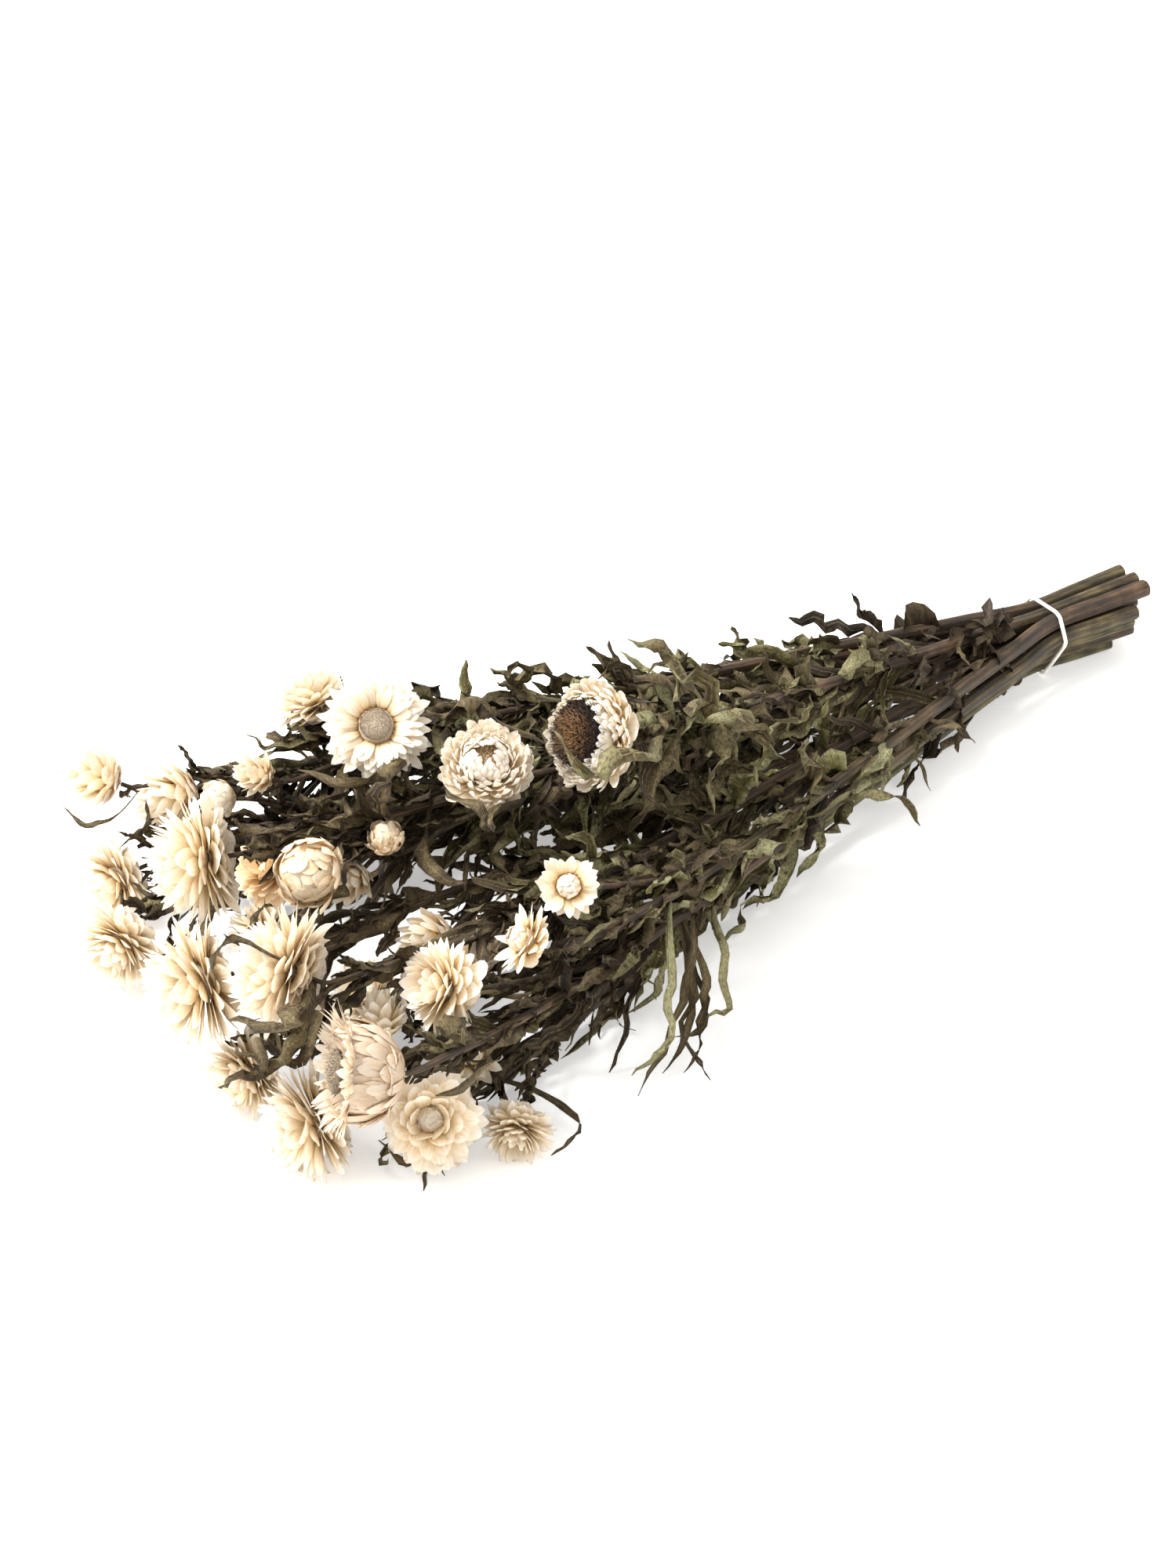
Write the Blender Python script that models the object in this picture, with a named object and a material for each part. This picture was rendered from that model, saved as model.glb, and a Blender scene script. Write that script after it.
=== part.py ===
"""A bunch of dried strawflowers, lying on a table with its cut ends towards +X.

Fifteen leafy stems are gathered under a white rubber band and fan out towards -X, where they carry
thirty-one papery heads. The origin is on the table, under the middle of the bunch. +Z is up.
Lengths in the tables and in the layout are millimetres; meshes are made in metres.
"""

import math

import bmesh
import bpy
import numpy as np
from mathutils import Vector

MM = 0.001

# The bunch as a whole
TIE_X = 219.0  # the rubber band's place along the bunch
TIE_CENTRE = np.array([TIE_X, 48.0, 20.7])
BUTT_X = 266.0  # the mean place of the cut ends
BUTT_SPREAD = 1.12  # how far the stems splay again past the band
TABLE_GAP = 0.4  # stalks and leaves stay this far above the table
TABLE_PRESS = -3.6  # petals and the band may reach this far below it, and are pressed flat there

# Stems
STEM_PITCH = 7.75  # between neighbouring stems under the band
STEM_RADIUS_TIE = 3.45
STEM_RADIUS_FAR = 1.6
STALK_RADIUS = 1.25  # a side stalk where it leaves its stem
STALK_TIP_RADIUS = 1.0  # any stalk where it meets its head
KNOT_STEP = 34.0  # between the bends of a stem
STALK_KNOTS = 4
CLEARANCE = 1.0  # between the stalks of different stems, after they have pushed each other apart
PUSH_ROUNDS = 260
CROWD_PUSH = 0.35  # the share of an overlap that one round of pushing takes away, stalk from stalk
HEAD_PUSH = 0.4  # stalk from head
TABLE_PUSH = 0.5  # stalk from table
STALK_SMOOTHING = 0.02
HEAD_ROOM = 0.62  # stalks keep out of a ball of this share of a head's radius
STRAIGHT_END = 6.0  # a stalk runs straight into the back of its head over this length

# Heads
SEAT_GAP = 0.35  # between a stalk's end and the head that it carries
PETAL_THICK = 0.9
NOTCH = 0.55  # how far along, as a share of its length, a petal stands free of its neighbours
KEEL = 0.5  # where its keel is deepest
PETAL_SPACE = 0.45  # between petals of different heads
FOOT_LOW = -0.75  # petals stand between these shares of the heart's height
FOOT_HIGH = 0.25
LEAST_SPREAD = 17.0  # degrees between a petal and the one behind it
PETAL_PROBES = (0.1, 0.3, 0.55, 0.78, 1.0)  # shares of a petal's length that are tested for room
PROBE_WIDTHS = (0.6, 0.8, 1.0, 0.5, 0.1)  # and the share of its full width there
PETAL_TRIALS = (  # (degrees that a petal bends in, share of its length), tried in turn
    (0, 1), (-10, 1), (-20, 1), (-32, 1), (12, 0.95), (0, 0.82),
    (-20, 0.8), (-40, 0.75), (0, 0.62), (-30, 0.6), (0, 0.45), (-40, 0.45),
)
BUD_GIRTH = 0.66  # of the heart's radius, where the innermost petals leave the bud
BUD_SHOULDER = 0.74  # of the heart's height, there
SEAT_GIRTH = 0.98  # the same for the flat seat under a disc
BASE_GIRTH = 0.6  # the heart narrows to this share of its radius behind the petals
BASE_DEPTH = 0.9  # and this share of its height
DISC_SHARE = 0.88  # a disc's radius as a share of the cup that carries it
DISC_RISE = 0.16  # a disc's height as a share of its head's radius
DISC_SPOKES = 12
DISC_RINGS = 8  # round a whole ball, of which a disc is the upper half
DISC_CUT = 0.02  # the ball is cut this share of its radius above its middle
FLORET_BUMP = 0.9

# Leaves
LEAVES_A_STEM = 4  # besides those of the list
LIFTS = (0, 3, -3, 6, -6, 9, 13, -10, 17)  # tried in turn on a leaf of the list
LEAF_THICK = 0.9
LEAF_POINTS = 4
LEAF_SHAPE = np.array([0.4, 1.0, 0.85, 0.0])  # shares of a leaf's width, from its foot to its tip
LEAF_PROBES = 5  # between two points of a leaf, to test that it is clear
LEAF_TRIES = 160
LEAF_STRAY = 15.0  # the tip of a leaf at a random place lies at most this far from some stalk
LEAF_SPACE = 0.5
LEAF_LENGTHS = (38.0, 74.0)
LEAF_BREADTHS = (5.5, 9.5)
LEAF_LEANS = (10, 44)  # degrees from the stem
LEAF_BENDS = (-1.0, 1.3)  # radians over the leaf's length
LEAF_TWIST = 2.0
SEED = 7

# Rubber band
BAND_RADIUS = 0.9
BAND_GAP = 0.35
BAND_POINTS = 22

# name: (x, y, z of the middle of the head, heading and rise of its face in degrees, radius, kind, stem)
# The first head that names a stem sits at its end, and the later ones sit on side stalks.
HEADS = {
    "head_01": (-223, 123, 60, 156, 24, 15, "goblet", 1),
    "head_02": (-197, 106, 51, 180, 0, 16, "goblet", 1),
    "head_03": (-229, 106, 19, 180, -8, 19, "full", 2),
    "head_04": (-249, 61, 20, 200, -20, 20, "full", 7),
    "head_05": (-232, 22, 80, 150, -10, 26, "full", 5),
    "head_06": (-136, 95, 85, 97, 50, 18, "full", 3),
    "head_07": (-141, 32, 107, -123, 43, 24, "open", 4),
    "head_08": (-118, -15, 107, -123, 61, 22, "curled", 6),
    "head_09": (-80, -27, 113, -175, 26, 26, "globe", 12),
    "head_10": (-186, 89, 55, 167, 13, 9, "bud", 2),
    "head_11": (-172, 78, 68, 168, 28, 10, "goblet", 3),
    "head_12": (-190, 37, 53, -174, 50, 17, "full", 5),
    "head_13": (-197, -9, 80, -142, 21, 15, "bud", 8),
    "head_14": (-172, 0, 62, -162, -13, 11, "goblet", 8),
    "head_15": (-158, -3, 79, -151, 63, 8, "bud", 6),
    "head_16": (-254, -13, 50, 165, -8, 27, "full", 9),
    "head_17": (-238, -57, 81, 130, 8, 26, "full", 10),
    "head_18": (-193, -46, 43, -162, 60, 17, "full", 9),
    "head_19": (-244, -34, 15.5, 178, -12, 19, "full", 11),
    "head_20": (-236, -111, 66, 160, 12, 24, "scaly", 13),
    "head_21": (-241, -77, 18.3, 170, -10, 24, "full", 11),
    "head_22": (-203, -110, 28, -123, 40, 21, "full", 14),
    "head_23": (-168, -82, 27, -107, 45, 15, "star", 14),
    "head_24": (-170, -118, 11, -133, -15, 15, "full", 14),
    "head_25": (-187, -90, 72, 170, 20, 19, "full", 13),
    "head_26": (-152, -92, 82, 155, 35, 15, "star", 15),
    "head_27": (-153, -65, 58, 90, 60, 12, "goblet", 15),
    "head_28": (-125, -86, 92, -123, 40, 14, "star", 15),
    "head_29": (-156, -34, 47, 180, 5, 14, "goblet", 10),
    "head_30": (-192, 49, 11.5, 175, -5, 16, "full", 7),
    "head_31": (-204, -76, 54, 60, 60, 12, "goblet", 13),
}

# Each kind of head: how many petals a whorl has, its whorls from the outside in, as (angle from the
# head's axis at the root, how far a petal curls in by its tip, length as a share of the radius), then
# the radius and height of the heart, as shares of the head's radius, and what fills it.
KINDS = {
    "full": (12, ((98, -12, 1.0), (72, 8, 1.0), (44, 18, 0.92)), 0.30, 0.34, "bud"),
    "open": (16, ((94, -4, 1.0), (76, 4, 0.88)), 0.36, 0.20, "disc"),
    "curled": (13, ((104, 26, 1.0), (78, 40, 1.0), (52, 36, 0.8)), 0.40, 0.24, "disc"),
    "globe": (13, ((104, 40, 1.0), (80, 60, 1.0), (56, 60, 0.92)), 0.56, 0.24, "disc"),
    "scaly": (14, ((108, 52, 1.0), (84, 48, 1.1), (58, 40, 1.15)), 0.38, 0.40, "disc"),
    "bud": (8, ((80, 104, 1.7), (52, 84, 1.4)), 0.55, 0.74, "bud"),
    "star": (11, ((86, -4, 1.0),), 0.36, 0.38, "bud"),
    "goblet": (8, ((62, 22, 1.15), (34, 14, 1.2)), 0.36, 0.46, "bud"),
}

# The leaves that show best, as (stem, x, y, z of the root, of a point on the way and of the tip, width).
# A root is taken to the nearest place on its stem.
LEAVES = (
    (13, (-57, -71, 46), (-87, -108, 30), (-115, -121, 8), 5.5),
    (13, (-50, -69, 46), (-83, -109, 25), (-86, -126, 6), 5),
    (15, (-71, -76, 61), (-98, -114, 34), (-116, -118, 16), 6),
    (13, (-45, -66, 46), (-62, -103, 32), (-75, -110, 22), 6),
    (13, (-78, -79, 48), (-84, -90, 33), (-101, -92, 24), 7),
    (13, (39, -34, 39), (60, -45, 42), (69, -59, 32), 8),
    (13, (34, -37, 39), (26, -42, 27), (16, -44, 16), 8),
    (15, (109, -6, 43), (119, -14, 40), (125, -23, 33), 5),
    (4, (132, 54, 45), (124, 60, 56), (120, 63, 68), 7),
    (12, (-28, -18, 94), (-34, -11, 116), (-46, -1, 126), 7),
    (12, (-26, -18, 94), (-56, -37, 98), (-89, -20, 126), 7),
    (12, (-24, -18, 94), (-17, -38, 104), (0, -55, 88), 8),
    (12, (-31, -18, 95), (-50, -38, 88), (-69, -40, 68), 8),
    (3, (28, 66, 44), (14, 71, 53), (1, 82, 54), 7),
    (2, (-133, 95, 29), (-158, 111, 42), (-182, 132, 46), 10),
    (2, (-136, 94, 30), (-154, 113, 53), (-173, 129, 50), 6),
    (3, (-151, 76, 62), (-159, 84, 73), (-168, 94, 78), 4),
    (1, (-205, 118, 55), (-228, 114, 50), (-240, 122, 58), 5),
    (2, (-205, 100, 22), (-232, 117, 32), (-243, 124, 34), 6),
    (9, (-232, -18, 52), (-240, -40, 84), (-231, -38, 99), 6),
    (10, (-224, -66, 78), (-246, -82, 66), (-265, -74, 66), 8),
    (11, (-205, -32, 24), (-218, -40, 36), (-226, -30, 44), 6),
    (11, (-225, -34, 19), (-250, -52, 32), (-268, -46, 26), 6),
    (14, (-150, -104, 18), (-146, -121, 12), (-160, -128, 3), 5),
    (15, (-120, -78, 74), (-130, -98, 44), (-145, -98, 18), 6),
    (15, (-108, -76, 78), (-128, -94, 50), (-152, -92, 30), 7),
    (3, (-30, 70, 50), (-50, 85, 55), (-76, 101, 55), 8),
    (3, (-37, 70, 51), (-59, 83, 47), (-79, 96, 47), 7),
    (8, (-104, 10, 62), (-113, 4, 76), (-109, 6, 92), 8),
    (1, (-130, 105, 44), (-137, 113, 57), (-134, 115, 67), 5),
    (4, (165, 54, 40), (147, 54, 36), (130, 58, 28), 12),
    (13, (14, -44, 41), (-2, -55, 26), (-17, -50, 17), 9),
)

# name: colour, roughness
COLOURS = {
    "dry petal": ((0.86, 0.74, 0.55, 1), 0.55),
    "disc floret": ((0.22, 0.14, 0.08, 1), 0.9),
    "dry stem and leaf": ((0.12, 0.105, 0.065, 1), 0.8),
    "white rubber": ((0.85, 0.83, 0.78, 1), 0.5),
}


def unit(v):
    """Vectors of length one, for one vector or for rows of them."""
    v = np.asarray(v, float)
    return v / np.maximum(np.linalg.norm(v, axis=-1, keepdims=True), 1e-12)


def facing(heading, rise):
    """The direction of a head's face, from its heading and rise in degrees."""
    h, r = math.radians(heading), math.radians(rise)
    return np.array([math.cos(h) * math.cos(r), math.sin(h) * math.cos(r), math.sin(r)])


def across(n):
    """Two directions square to n and to each other."""
    helper = np.array([0.0, 0.0, 1.0]) if abs(n[2]) < 0.8 else np.array([1.0, 0.0, 0.0])
    e1 = unit(np.cross(helper, n))
    return e1, np.cross(n, e1)


def bezier(a, da, b, db, count):
    """count points on the cubic curve from a, leaving along da, to b, arriving along db."""
    t = np.linspace(0.0, 1.0, count)[:, None]
    c1, c2 = a + da, b - db
    return (1 - t) ** 3 * a + 3 * (1 - t) ** 2 * t * c1 + 3 * (1 - t) * t**2 * c2 + t**3 * b


# Layout of the heads and stems

def heads_of(stem):
    return [name for name, row in HEADS.items() if row[7] == stem]


def heart(name):
    """The middle of a head's heart, the head's facing, its radius and its kind."""
    x, y, z, heading, rise, radius, kind, _ = HEADS[name]
    n = facing(heading, rise)
    return np.array([x, y, z], float) - 0.2 * radius * n, n, radius, kind


def seat(name):
    """Where the stalk of a head ends, just behind its heart."""
    middle, n, radius, kind = heart(name)
    return middle - n * (KINDS[kind][3] * radius + SEAT_GAP)


def tie_slots(count):
    """Places of the stems under the band: the points of a triangular grid that lie nearest its middle."""
    grid = [
        (STEM_PITCH * (i + 0.5 * (j % 2)), STEM_PITCH * j * math.sqrt(3) / 2)
        for i in range(-4, 5)
        for j in range(-4, 5)
    ]
    middle = np.array([0.25 * STEM_PITCH, 0.29 * STEM_PITCH])
    grid = sorted(grid, key=lambda p: (round(math.dist(p, middle), 3), p))[:count]
    return np.array(grid) - np.mean(grid, axis=0)


def matched(slots, targets):
    """Gives each target its slot so that the sum of squared distances is least, by swapping pairs.
    Stems that run between places matched so spread out without crossing."""
    order = list(range(len(slots)))
    swapped = True
    while swapped:
        swapped = False
        for i in range(len(order)):
            for j in range(i + 1, len(order)):
                now = slots[order[i]] @ targets[i] + slots[order[j]] @ targets[j]
                other = slots[order[j]] @ targets[i] + slots[order[i]] @ targets[j]
                if other > now + 1e-9:
                    order[i], order[j] = order[j], order[i]
                    swapped = True
    return slots[order]


def main_stalk(name, slot, number):
    """Knots of a stem from its cut end, through the band, to the head at its end."""
    end, (_, n, radius, _) = seat(name), heart(name)
    tie = TIE_CENTRE + [0, slot[0], slot[1]]
    butt = tie + [BUTT_X - TIE_X + 7.0 * math.sin(2.4 * number), 0, 0]
    butt[1:] = TIE_CENTRE[1:] + (tie[1:] - TIE_CENTRE[1:]) * BUTT_SPREAD
    last = end - STRAIGHT_END * n
    reach = np.linalg.norm(last - tie)
    count = int(round(reach / KNOT_STEP)) + 1
    run = bezier(tie, 0.36 * reach * unit(end - tie), last, (12 + 1.3 * radius) * n, count)
    return np.vstack([butt, (butt + tie) / 2, run, end])


def side_stalk(name, stem_knots):
    """Knots of a side stalk, from inside its stem to its head."""
    end, (_, n, radius, _) = seat(name), heart(name)
    away = np.linalg.norm(stem_knots[3:-2] - end, axis=1)
    first = 3 + int(np.argmin(np.abs(away - (52 + 1.2 * radius))))
    start = stem_knots[first]
    along = unit(stem_knots[first + 1] - stem_knots[first - 1])
    last = end - STRAIGHT_END * n
    reach = np.linalg.norm(last - start)
    run = bezier(start, 0.35 * reach * along, last, (4 + 1.0 * radius) * n, STALK_KNOTS)
    return np.vstack([run, end])


def is_main(stalk):
    return stalk["head"] == heads_of(stalk["stem"])[0]


def make_stalks():
    """Every stalk, before the stems push each other apart: the stem that it belongs to, its knots, their
    radii, which of them are held in place, and the head that it carries."""
    stems = sorted({row[7] for row in HEADS.values()})
    ends = np.array([seat(heads_of(s)[0])[1:] for s in stems])
    slots = matched(tie_slots(len(stems)), ends - ends.mean(axis=0))
    stalks = []
    for number, stem in enumerate(stems):
        names = heads_of(stem)
        knots = main_stalk(names[0], slots[number], number)
        share = np.clip((np.arange(len(knots)) - 2) / (len(knots) - 5), 0, 1)
        radii = STEM_RADIUS_TIE + (STEM_RADIUS_FAR - STEM_RADIUS_TIE) * share
        radii *= 1 + 0.08 * math.sin(3.7 * number)
        radii[:2] *= [1.12, 1.05]
        radii[-2:] = STALK_TIP_RADIUS
        held = np.zeros(len(knots), bool)
        held[[0, 1, 2, -2, -1]] = True
        stalks.append(dict(stem=stem, knots=knots, radii=radii, held=held, head=names[0]))
        for name in names[1:]:
            side = side_stalk(name, knots)
            held = np.zeros(len(side), bool)
            held[[0, -2, -1]] = True
            radii = np.linspace(STALK_RADIUS, STALK_TIP_RADIUS, len(side))
            stalks.append(dict(stem=stem, knots=side, radii=radii, held=held, head=name))
    return stalks


def sampled(knots, values, step=5.0):
    """Points every few millimetres along a run of straight pieces, with their share of each knot."""
    rows, points, radii = [], [], []
    for i in range(len(knots) - 1):
        parts = max(2, int(np.linalg.norm(knots[i + 1] - knots[i]) / step))
        for k in range(parts):
            t = k / parts
            rows.append((i, t))
            points.append(knots[i] * (1 - t) + knots[i + 1] * t)
            radii.append(values[i] * (1 - t) + values[i + 1] * t)
    rows.append((len(knots) - 2, 1.0))
    points.append(knots[-1])
    radii.append(values[-1])
    return rows, np.array(points), np.array(radii)


def crowding(points, radii, owner):
    """How far each point of a stalk should move to be clear of the stalks of other stems."""
    squares = (points**2).sum(axis=1)
    far_squared = squares[:, None] + squares[None, :] - 2 * points @ points.T
    want = radii[:, None] + radii[None, :] + CLEARANCE
    a, b = np.nonzero((far_squared < want**2) & (owner[:, None] != owner[None, :]))
    gap = points[a] - points[b]
    far = np.maximum(np.linalg.norm(gap, axis=1), 1e-6)
    push = np.zeros_like(points)
    np.add.at(push, a, gap / far[:, None] * (want[a, b] - far)[:, None])
    return CROWD_PUSH * push


def dodging(points, radii, end, own):
    """How far each point of a stalk should move to be clear of the heads, its own one from its side only,
    and of the table."""
    middles = np.array([heart(n)[0] + 0.25 * heart(n)[2] * heart(n)[1] for n in HEADS])
    sizes = np.array([HEAD_ROOM * heart(n)[2] for n in HEADS])
    off = points[:, None, :] - middles[None, :, :]
    away = np.linalg.norm(off, axis=2)
    lack = np.maximum(sizes[None, :] + radii[:, None] + CLEARANCE - away, 0)
    near_end = np.linalg.norm(points - end, axis=1) < heart(own)[2]
    lack[near_end, list(HEADS).index(own)] = 0
    move = HEAD_PUSH * (off / away[:, :, None] * lack[:, :, None]).sum(axis=1)
    move[:, 2] += TABLE_PUSH * np.maximum(radii + TABLE_GAP - points[:, 2], 0)
    return move


def push_apart(stalks):
    """Moves the free knots until stalks of different stems are clear of each other, of the heads and of
    the table, as the stems of a tied bunch press each other apart. It smooths each stalk as it goes."""
    mains = {s["stem"]: s for s in stalks if is_main(s)}
    for _ in range(PUSH_ROUNDS):
        runs = [sampled(s["knots"], s["radii"], 7.0) for s in stalks]
        owner = np.concatenate([np.full(len(r[1]), s["stem"]) for s, r in zip(stalks, runs)])
        pushes = crowding(np.vstack([r[1] for r in runs]), np.concatenate([r[2] for r in runs]), owner)
        first = 0
        for stalk, (rows, points, radii) in zip(stalks, runs):
            move = pushes[first : first + len(points)]
            move = move + dodging(points, radii, stalk["knots"][-1], stalk["head"])
            first += len(points)
            stalk["knots"] = stalk["knots"] + knot_moves(stalk, rows, move)
        for stalk in stalks:
            main = mains[stalk["stem"]]
            if stalk is not main:
                near = np.argmin(np.linalg.norm(main["knots"] - stalk["knots"][0], axis=1))
                stalk["knots"][0] = main["knots"][near]
    for stalk in stalks:
        stalk["knots"] = stalk["knots"].round(2)
    return stalks


def knot_moves(stalk, rows, move):
    """The moves of a stalk's points shared out to its knots, with a little smoothing. Held knots stay."""
    knots = stalk["knots"]
    lower = np.array([row[0] for row in rows])
    share = np.array([row[1] for row in rows])[:, None]
    moved = (np.abs(move).sum(axis=1) > 1e-9)[:, None]
    total, weight = np.zeros_like(knots), np.zeros((len(knots), 1))
    for places, part in ((lower, 1 - share), (lower + 1, share)):
        np.add.at(total, places, part * move)
        np.add.at(weight, places, part * moved)
    change = total / np.maximum(weight, 1.0)
    change[1:-1] += STALK_SMOOTHING * ((knots[:-2] + knots[2:]) / 2 - knots[1:-1])
    change[stalk["held"]] = 0
    return change


# Petals

def petals_of(name):
    """Every petal of a head, whorl by whorl from the outside in: where it stands, how far it opens and
    curls, and its length."""
    middle, n, radius, kind = heart(name)
    count, whorls, core, tall, _ = KINDS[kind]
    sides = across(n)
    turn = 1.3 * int(name[-2:])
    found = []
    for w, (opening, curl, length) in enumerate(whorls):
        whorl = []
        for i in range(count):
            wobble = math.sin(12.9 * i + 7.1 * w + turn)
            height = tall * (FOOT_LOW + (FOOT_HIGH - FOOT_LOW) * (w + 1) / len(whorls))
            whorl.append(
                dict(
                    middle=middle + height * radius * n,
                    axis=n,
                    turn=turn + 2 * math.pi * (i + 0.5 * (w % 2) + 0.1 * wobble) / count,
                    sides=sides,
                    foot=core * radius * (1 - 0.08 * w),
                    opening=opening + 4 * math.sin(5.3 * i + turn),
                    curl=curl,
                    reach=radius * (length * (1 + 0.07 * math.sin(8.7 * i + turn)) - core),
                    half=math.pi * 0.62 * radius * math.sin(math.radians(min(opening, 90))) / count,
                )
            )
        found.append(whorl)
    return found


def petal_line(petal, shares):
    """A petal's centreline and the normals of its face at the given shares of its length. The line lies in
    a plane through the head's axis, and turns evenly from the opening angle by the curl."""
    steps = 12
    out = math.cos(petal["turn"]) * petal["sides"][0] + math.sin(petal["turn"]) * petal["sides"][1]
    angles = np.radians(petal["opening"] - petal["curl"] * (np.arange(steps) + 0.5) / steps)
    ahead = np.cos(angles)[:, None] * petal["axis"] + np.sin(angles)[:, None] * out
    line = np.vstack([np.zeros(3), np.cumsum(ahead, axis=0) * petal["reach"] / steps])
    line += petal["middle"] + petal["foot"] * out
    points = on_pieces(line, np.asarray(shares) * steps)
    turn = np.radians(petal["opening"] - petal["curl"] * np.asarray(shares))
    normals = np.sin(turn)[:, None] * petal["axis"] - np.cos(turn)[:, None] * out
    return points, normals


def on_pieces(points, places):
    """Points at places along a run of straight pieces, a whole number at each corner."""
    corners = np.arange(len(points))
    return np.column_stack([np.interp(places, corners, points[:, k]) for k in range(3)])


def leans_on_disc(name, points):
    """Whether a petal would touch the disc of florets in its own head."""
    middle, n, radius, kind = heart(name)
    _, _, wide, tall, fills = KINDS[kind]
    if fills != "disc":
        return False
    height = (points - middle) @ n - tall * radius
    out = np.linalg.norm(points - middle - np.outer((points - middle) @ n, n), axis=1)
    beside = (height > -0.6) & (height < DISC_RISE * radius + 2.2)
    return bool((beside & (out < DISC_SHARE * wide * radius + 0.7)).any())


def clear_petals(stalks):
    """The petals of every head, each bent inwards, and if need be shortened, until it is clear of the
    other heads, the stalks and the table."""
    runs = [sampled(s["knots"], s["radii"], 4.0) for s in stalks]
    taken = np.vstack([r[1] for r in runs])
    sizes = np.concatenate([r[2] for r in runs])
    hearts = {n: (heart(n)[0], 1.12 * KINDS[heart(n)[3]][2] * heart(n)[2]) for n in HEADS}
    done = {}
    for name in HEADS:
        blocks = np.vstack([taken] + [hearts[m][0] for m in HEADS if m != name])
        block_sizes = np.concatenate([sizes, [hearts[m][1] for m in HEADS if m != name]])
        kept, probes = [], []
        for whorl in petals_of(name):
            kept.append([])
            for petal in whorl:
                for bend, length in PETAL_TRIALS:
                    trial = dict(petal, opening=petal["opening"] + bend, reach=petal["reach"] * length)
                    if leans_on_disc(name, petal_line(trial, np.linspace(0.1, 1, 12))[0]):
                        continue
                    points, _ = petal_line(trial, PETAL_PROBES)
                    half = np.array(PROBE_WIDTHS) * petal["half"]
                    gap = np.linalg.norm(points[:, None] - blocks, axis=2) - block_sizes - half[:, None]
                    if gap.min() > PETAL_SPACE and (points[:, 2] - 0.7 * half).min() > TABLE_PRESS:
                        break
                kept[-1].append(trial)
            if len(kept) > 1:
                stay_in_front(kept[-1], kept[-2], len(kept) % 2)
            for petal in kept[-1]:
                probes.append((petal_line(petal, PETAL_PROBES)[0], np.array(PROBE_WIDTHS) * petal["half"]))
        done[name] = kept
        taken = np.vstack([taken] + [p[0] for p in probes])
        sizes = np.concatenate([sizes] + [0.8 * p[1] for p in probes])
    return done, taken, sizes


def stay_in_front(whorl, behind, odd):
    """Bends each petal in until it is clear of the two petals behind it, so that whorls never cross."""
    for i, petal in enumerate(whorl):
        other = behind[(i + (-1 if odd else 1)) % len(behind)]
        most = min(behind[i]["opening"], other["opening"]) - LEAST_SPREAD
        petal["opening"] = min(petal["opening"], most)
        ends = min(behind[i]["opening"] - behind[i]["curl"], other["opening"] - other["curl"])
        petal["curl"] = max(petal["curl"], petal["opening"] - ends)


# Leaves

def leaf_line(root, ahead, side, length, bend, twist):
    """A leaf's centreline, widthwise directions and normals. It sets out along ahead and bends about side,
    evenly along its length, while its blade turns about its own line."""
    share = np.linspace(0, 1, LEAF_POINTS)
    normal = np.cross(side, ahead)
    angle = bend * (share[:-1] + 0.5 / (LEAF_POINTS - 1))
    steps = np.cos(angle)[:, None] * ahead + np.sin(angle)[:, None] * normal
    points = root + np.vstack([np.zeros(3), np.cumsum(steps, axis=0) * length / (LEAF_POINTS - 1)])
    at = bend * share
    along = np.cos(at)[:, None] * ahead + np.sin(at)[:, None] * normal
    up = np.cross(side, along)
    turn = twist * share
    sides = np.cos(turn)[:, None] * side + np.sin(turn)[:, None] * up
    return points, unit(sides), unit(np.cross(sides, along))


def fits(points, half, blocks, block_sizes):
    """Whether a leaf is clear of all else and of the table, probed at and between its sections."""
    places = np.linspace(0, len(points) - 1, LEAF_PROBES * (len(points) - 1) + 1)
    fine = on_pieces(points, places)
    wide = np.interp(places, np.arange(len(points)), np.maximum(half, 0.2))
    gap = np.linalg.norm(fine[:, None] - blocks[None], axis=2) - block_sizes[None] - wide[:, None]
    return gap.min() > LEAF_SPACE and (fine[:, 2] - wide).min() > TABLE_GAP, fine, wide


def chosen_leaf(row, knots, lift):
    """A leaf of the list: an arc from its stem through the given points, raised by lift."""
    _, root, way, tip, width = row
    line = sampled(knots, np.zeros(len(knots)), 2.0)[1]
    start = line[np.argmin(np.linalg.norm(line - np.array(root, float), axis=1))]
    way = np.array(way, float) + [0, 0, lift]
    tip = np.array(tip, float) + [0, 0, lift]
    t = np.linspace(0, 1, LEAF_POINTS)[:, None]
    bend = 2 * way - (start + tip) / 2
    points = (1 - t) ** 2 * start + 2 * (1 - t) * t * bend + t**2 * tip
    along = unit(np.gradient(points, axis=0))
    turn = (0.9 * t[:, 0] - 0.4 + 0.5 * math.sin(width * 7 + root[0]))[:, None]
    level = unit(np.cross(along, [0.0, 0.0, 1.0]) + 1e-3)
    sides = np.cos(turn) * level + np.sin(turn) * np.cross(level, along)
    return points, sides, unit(np.cross(sides, along)), width


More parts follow.
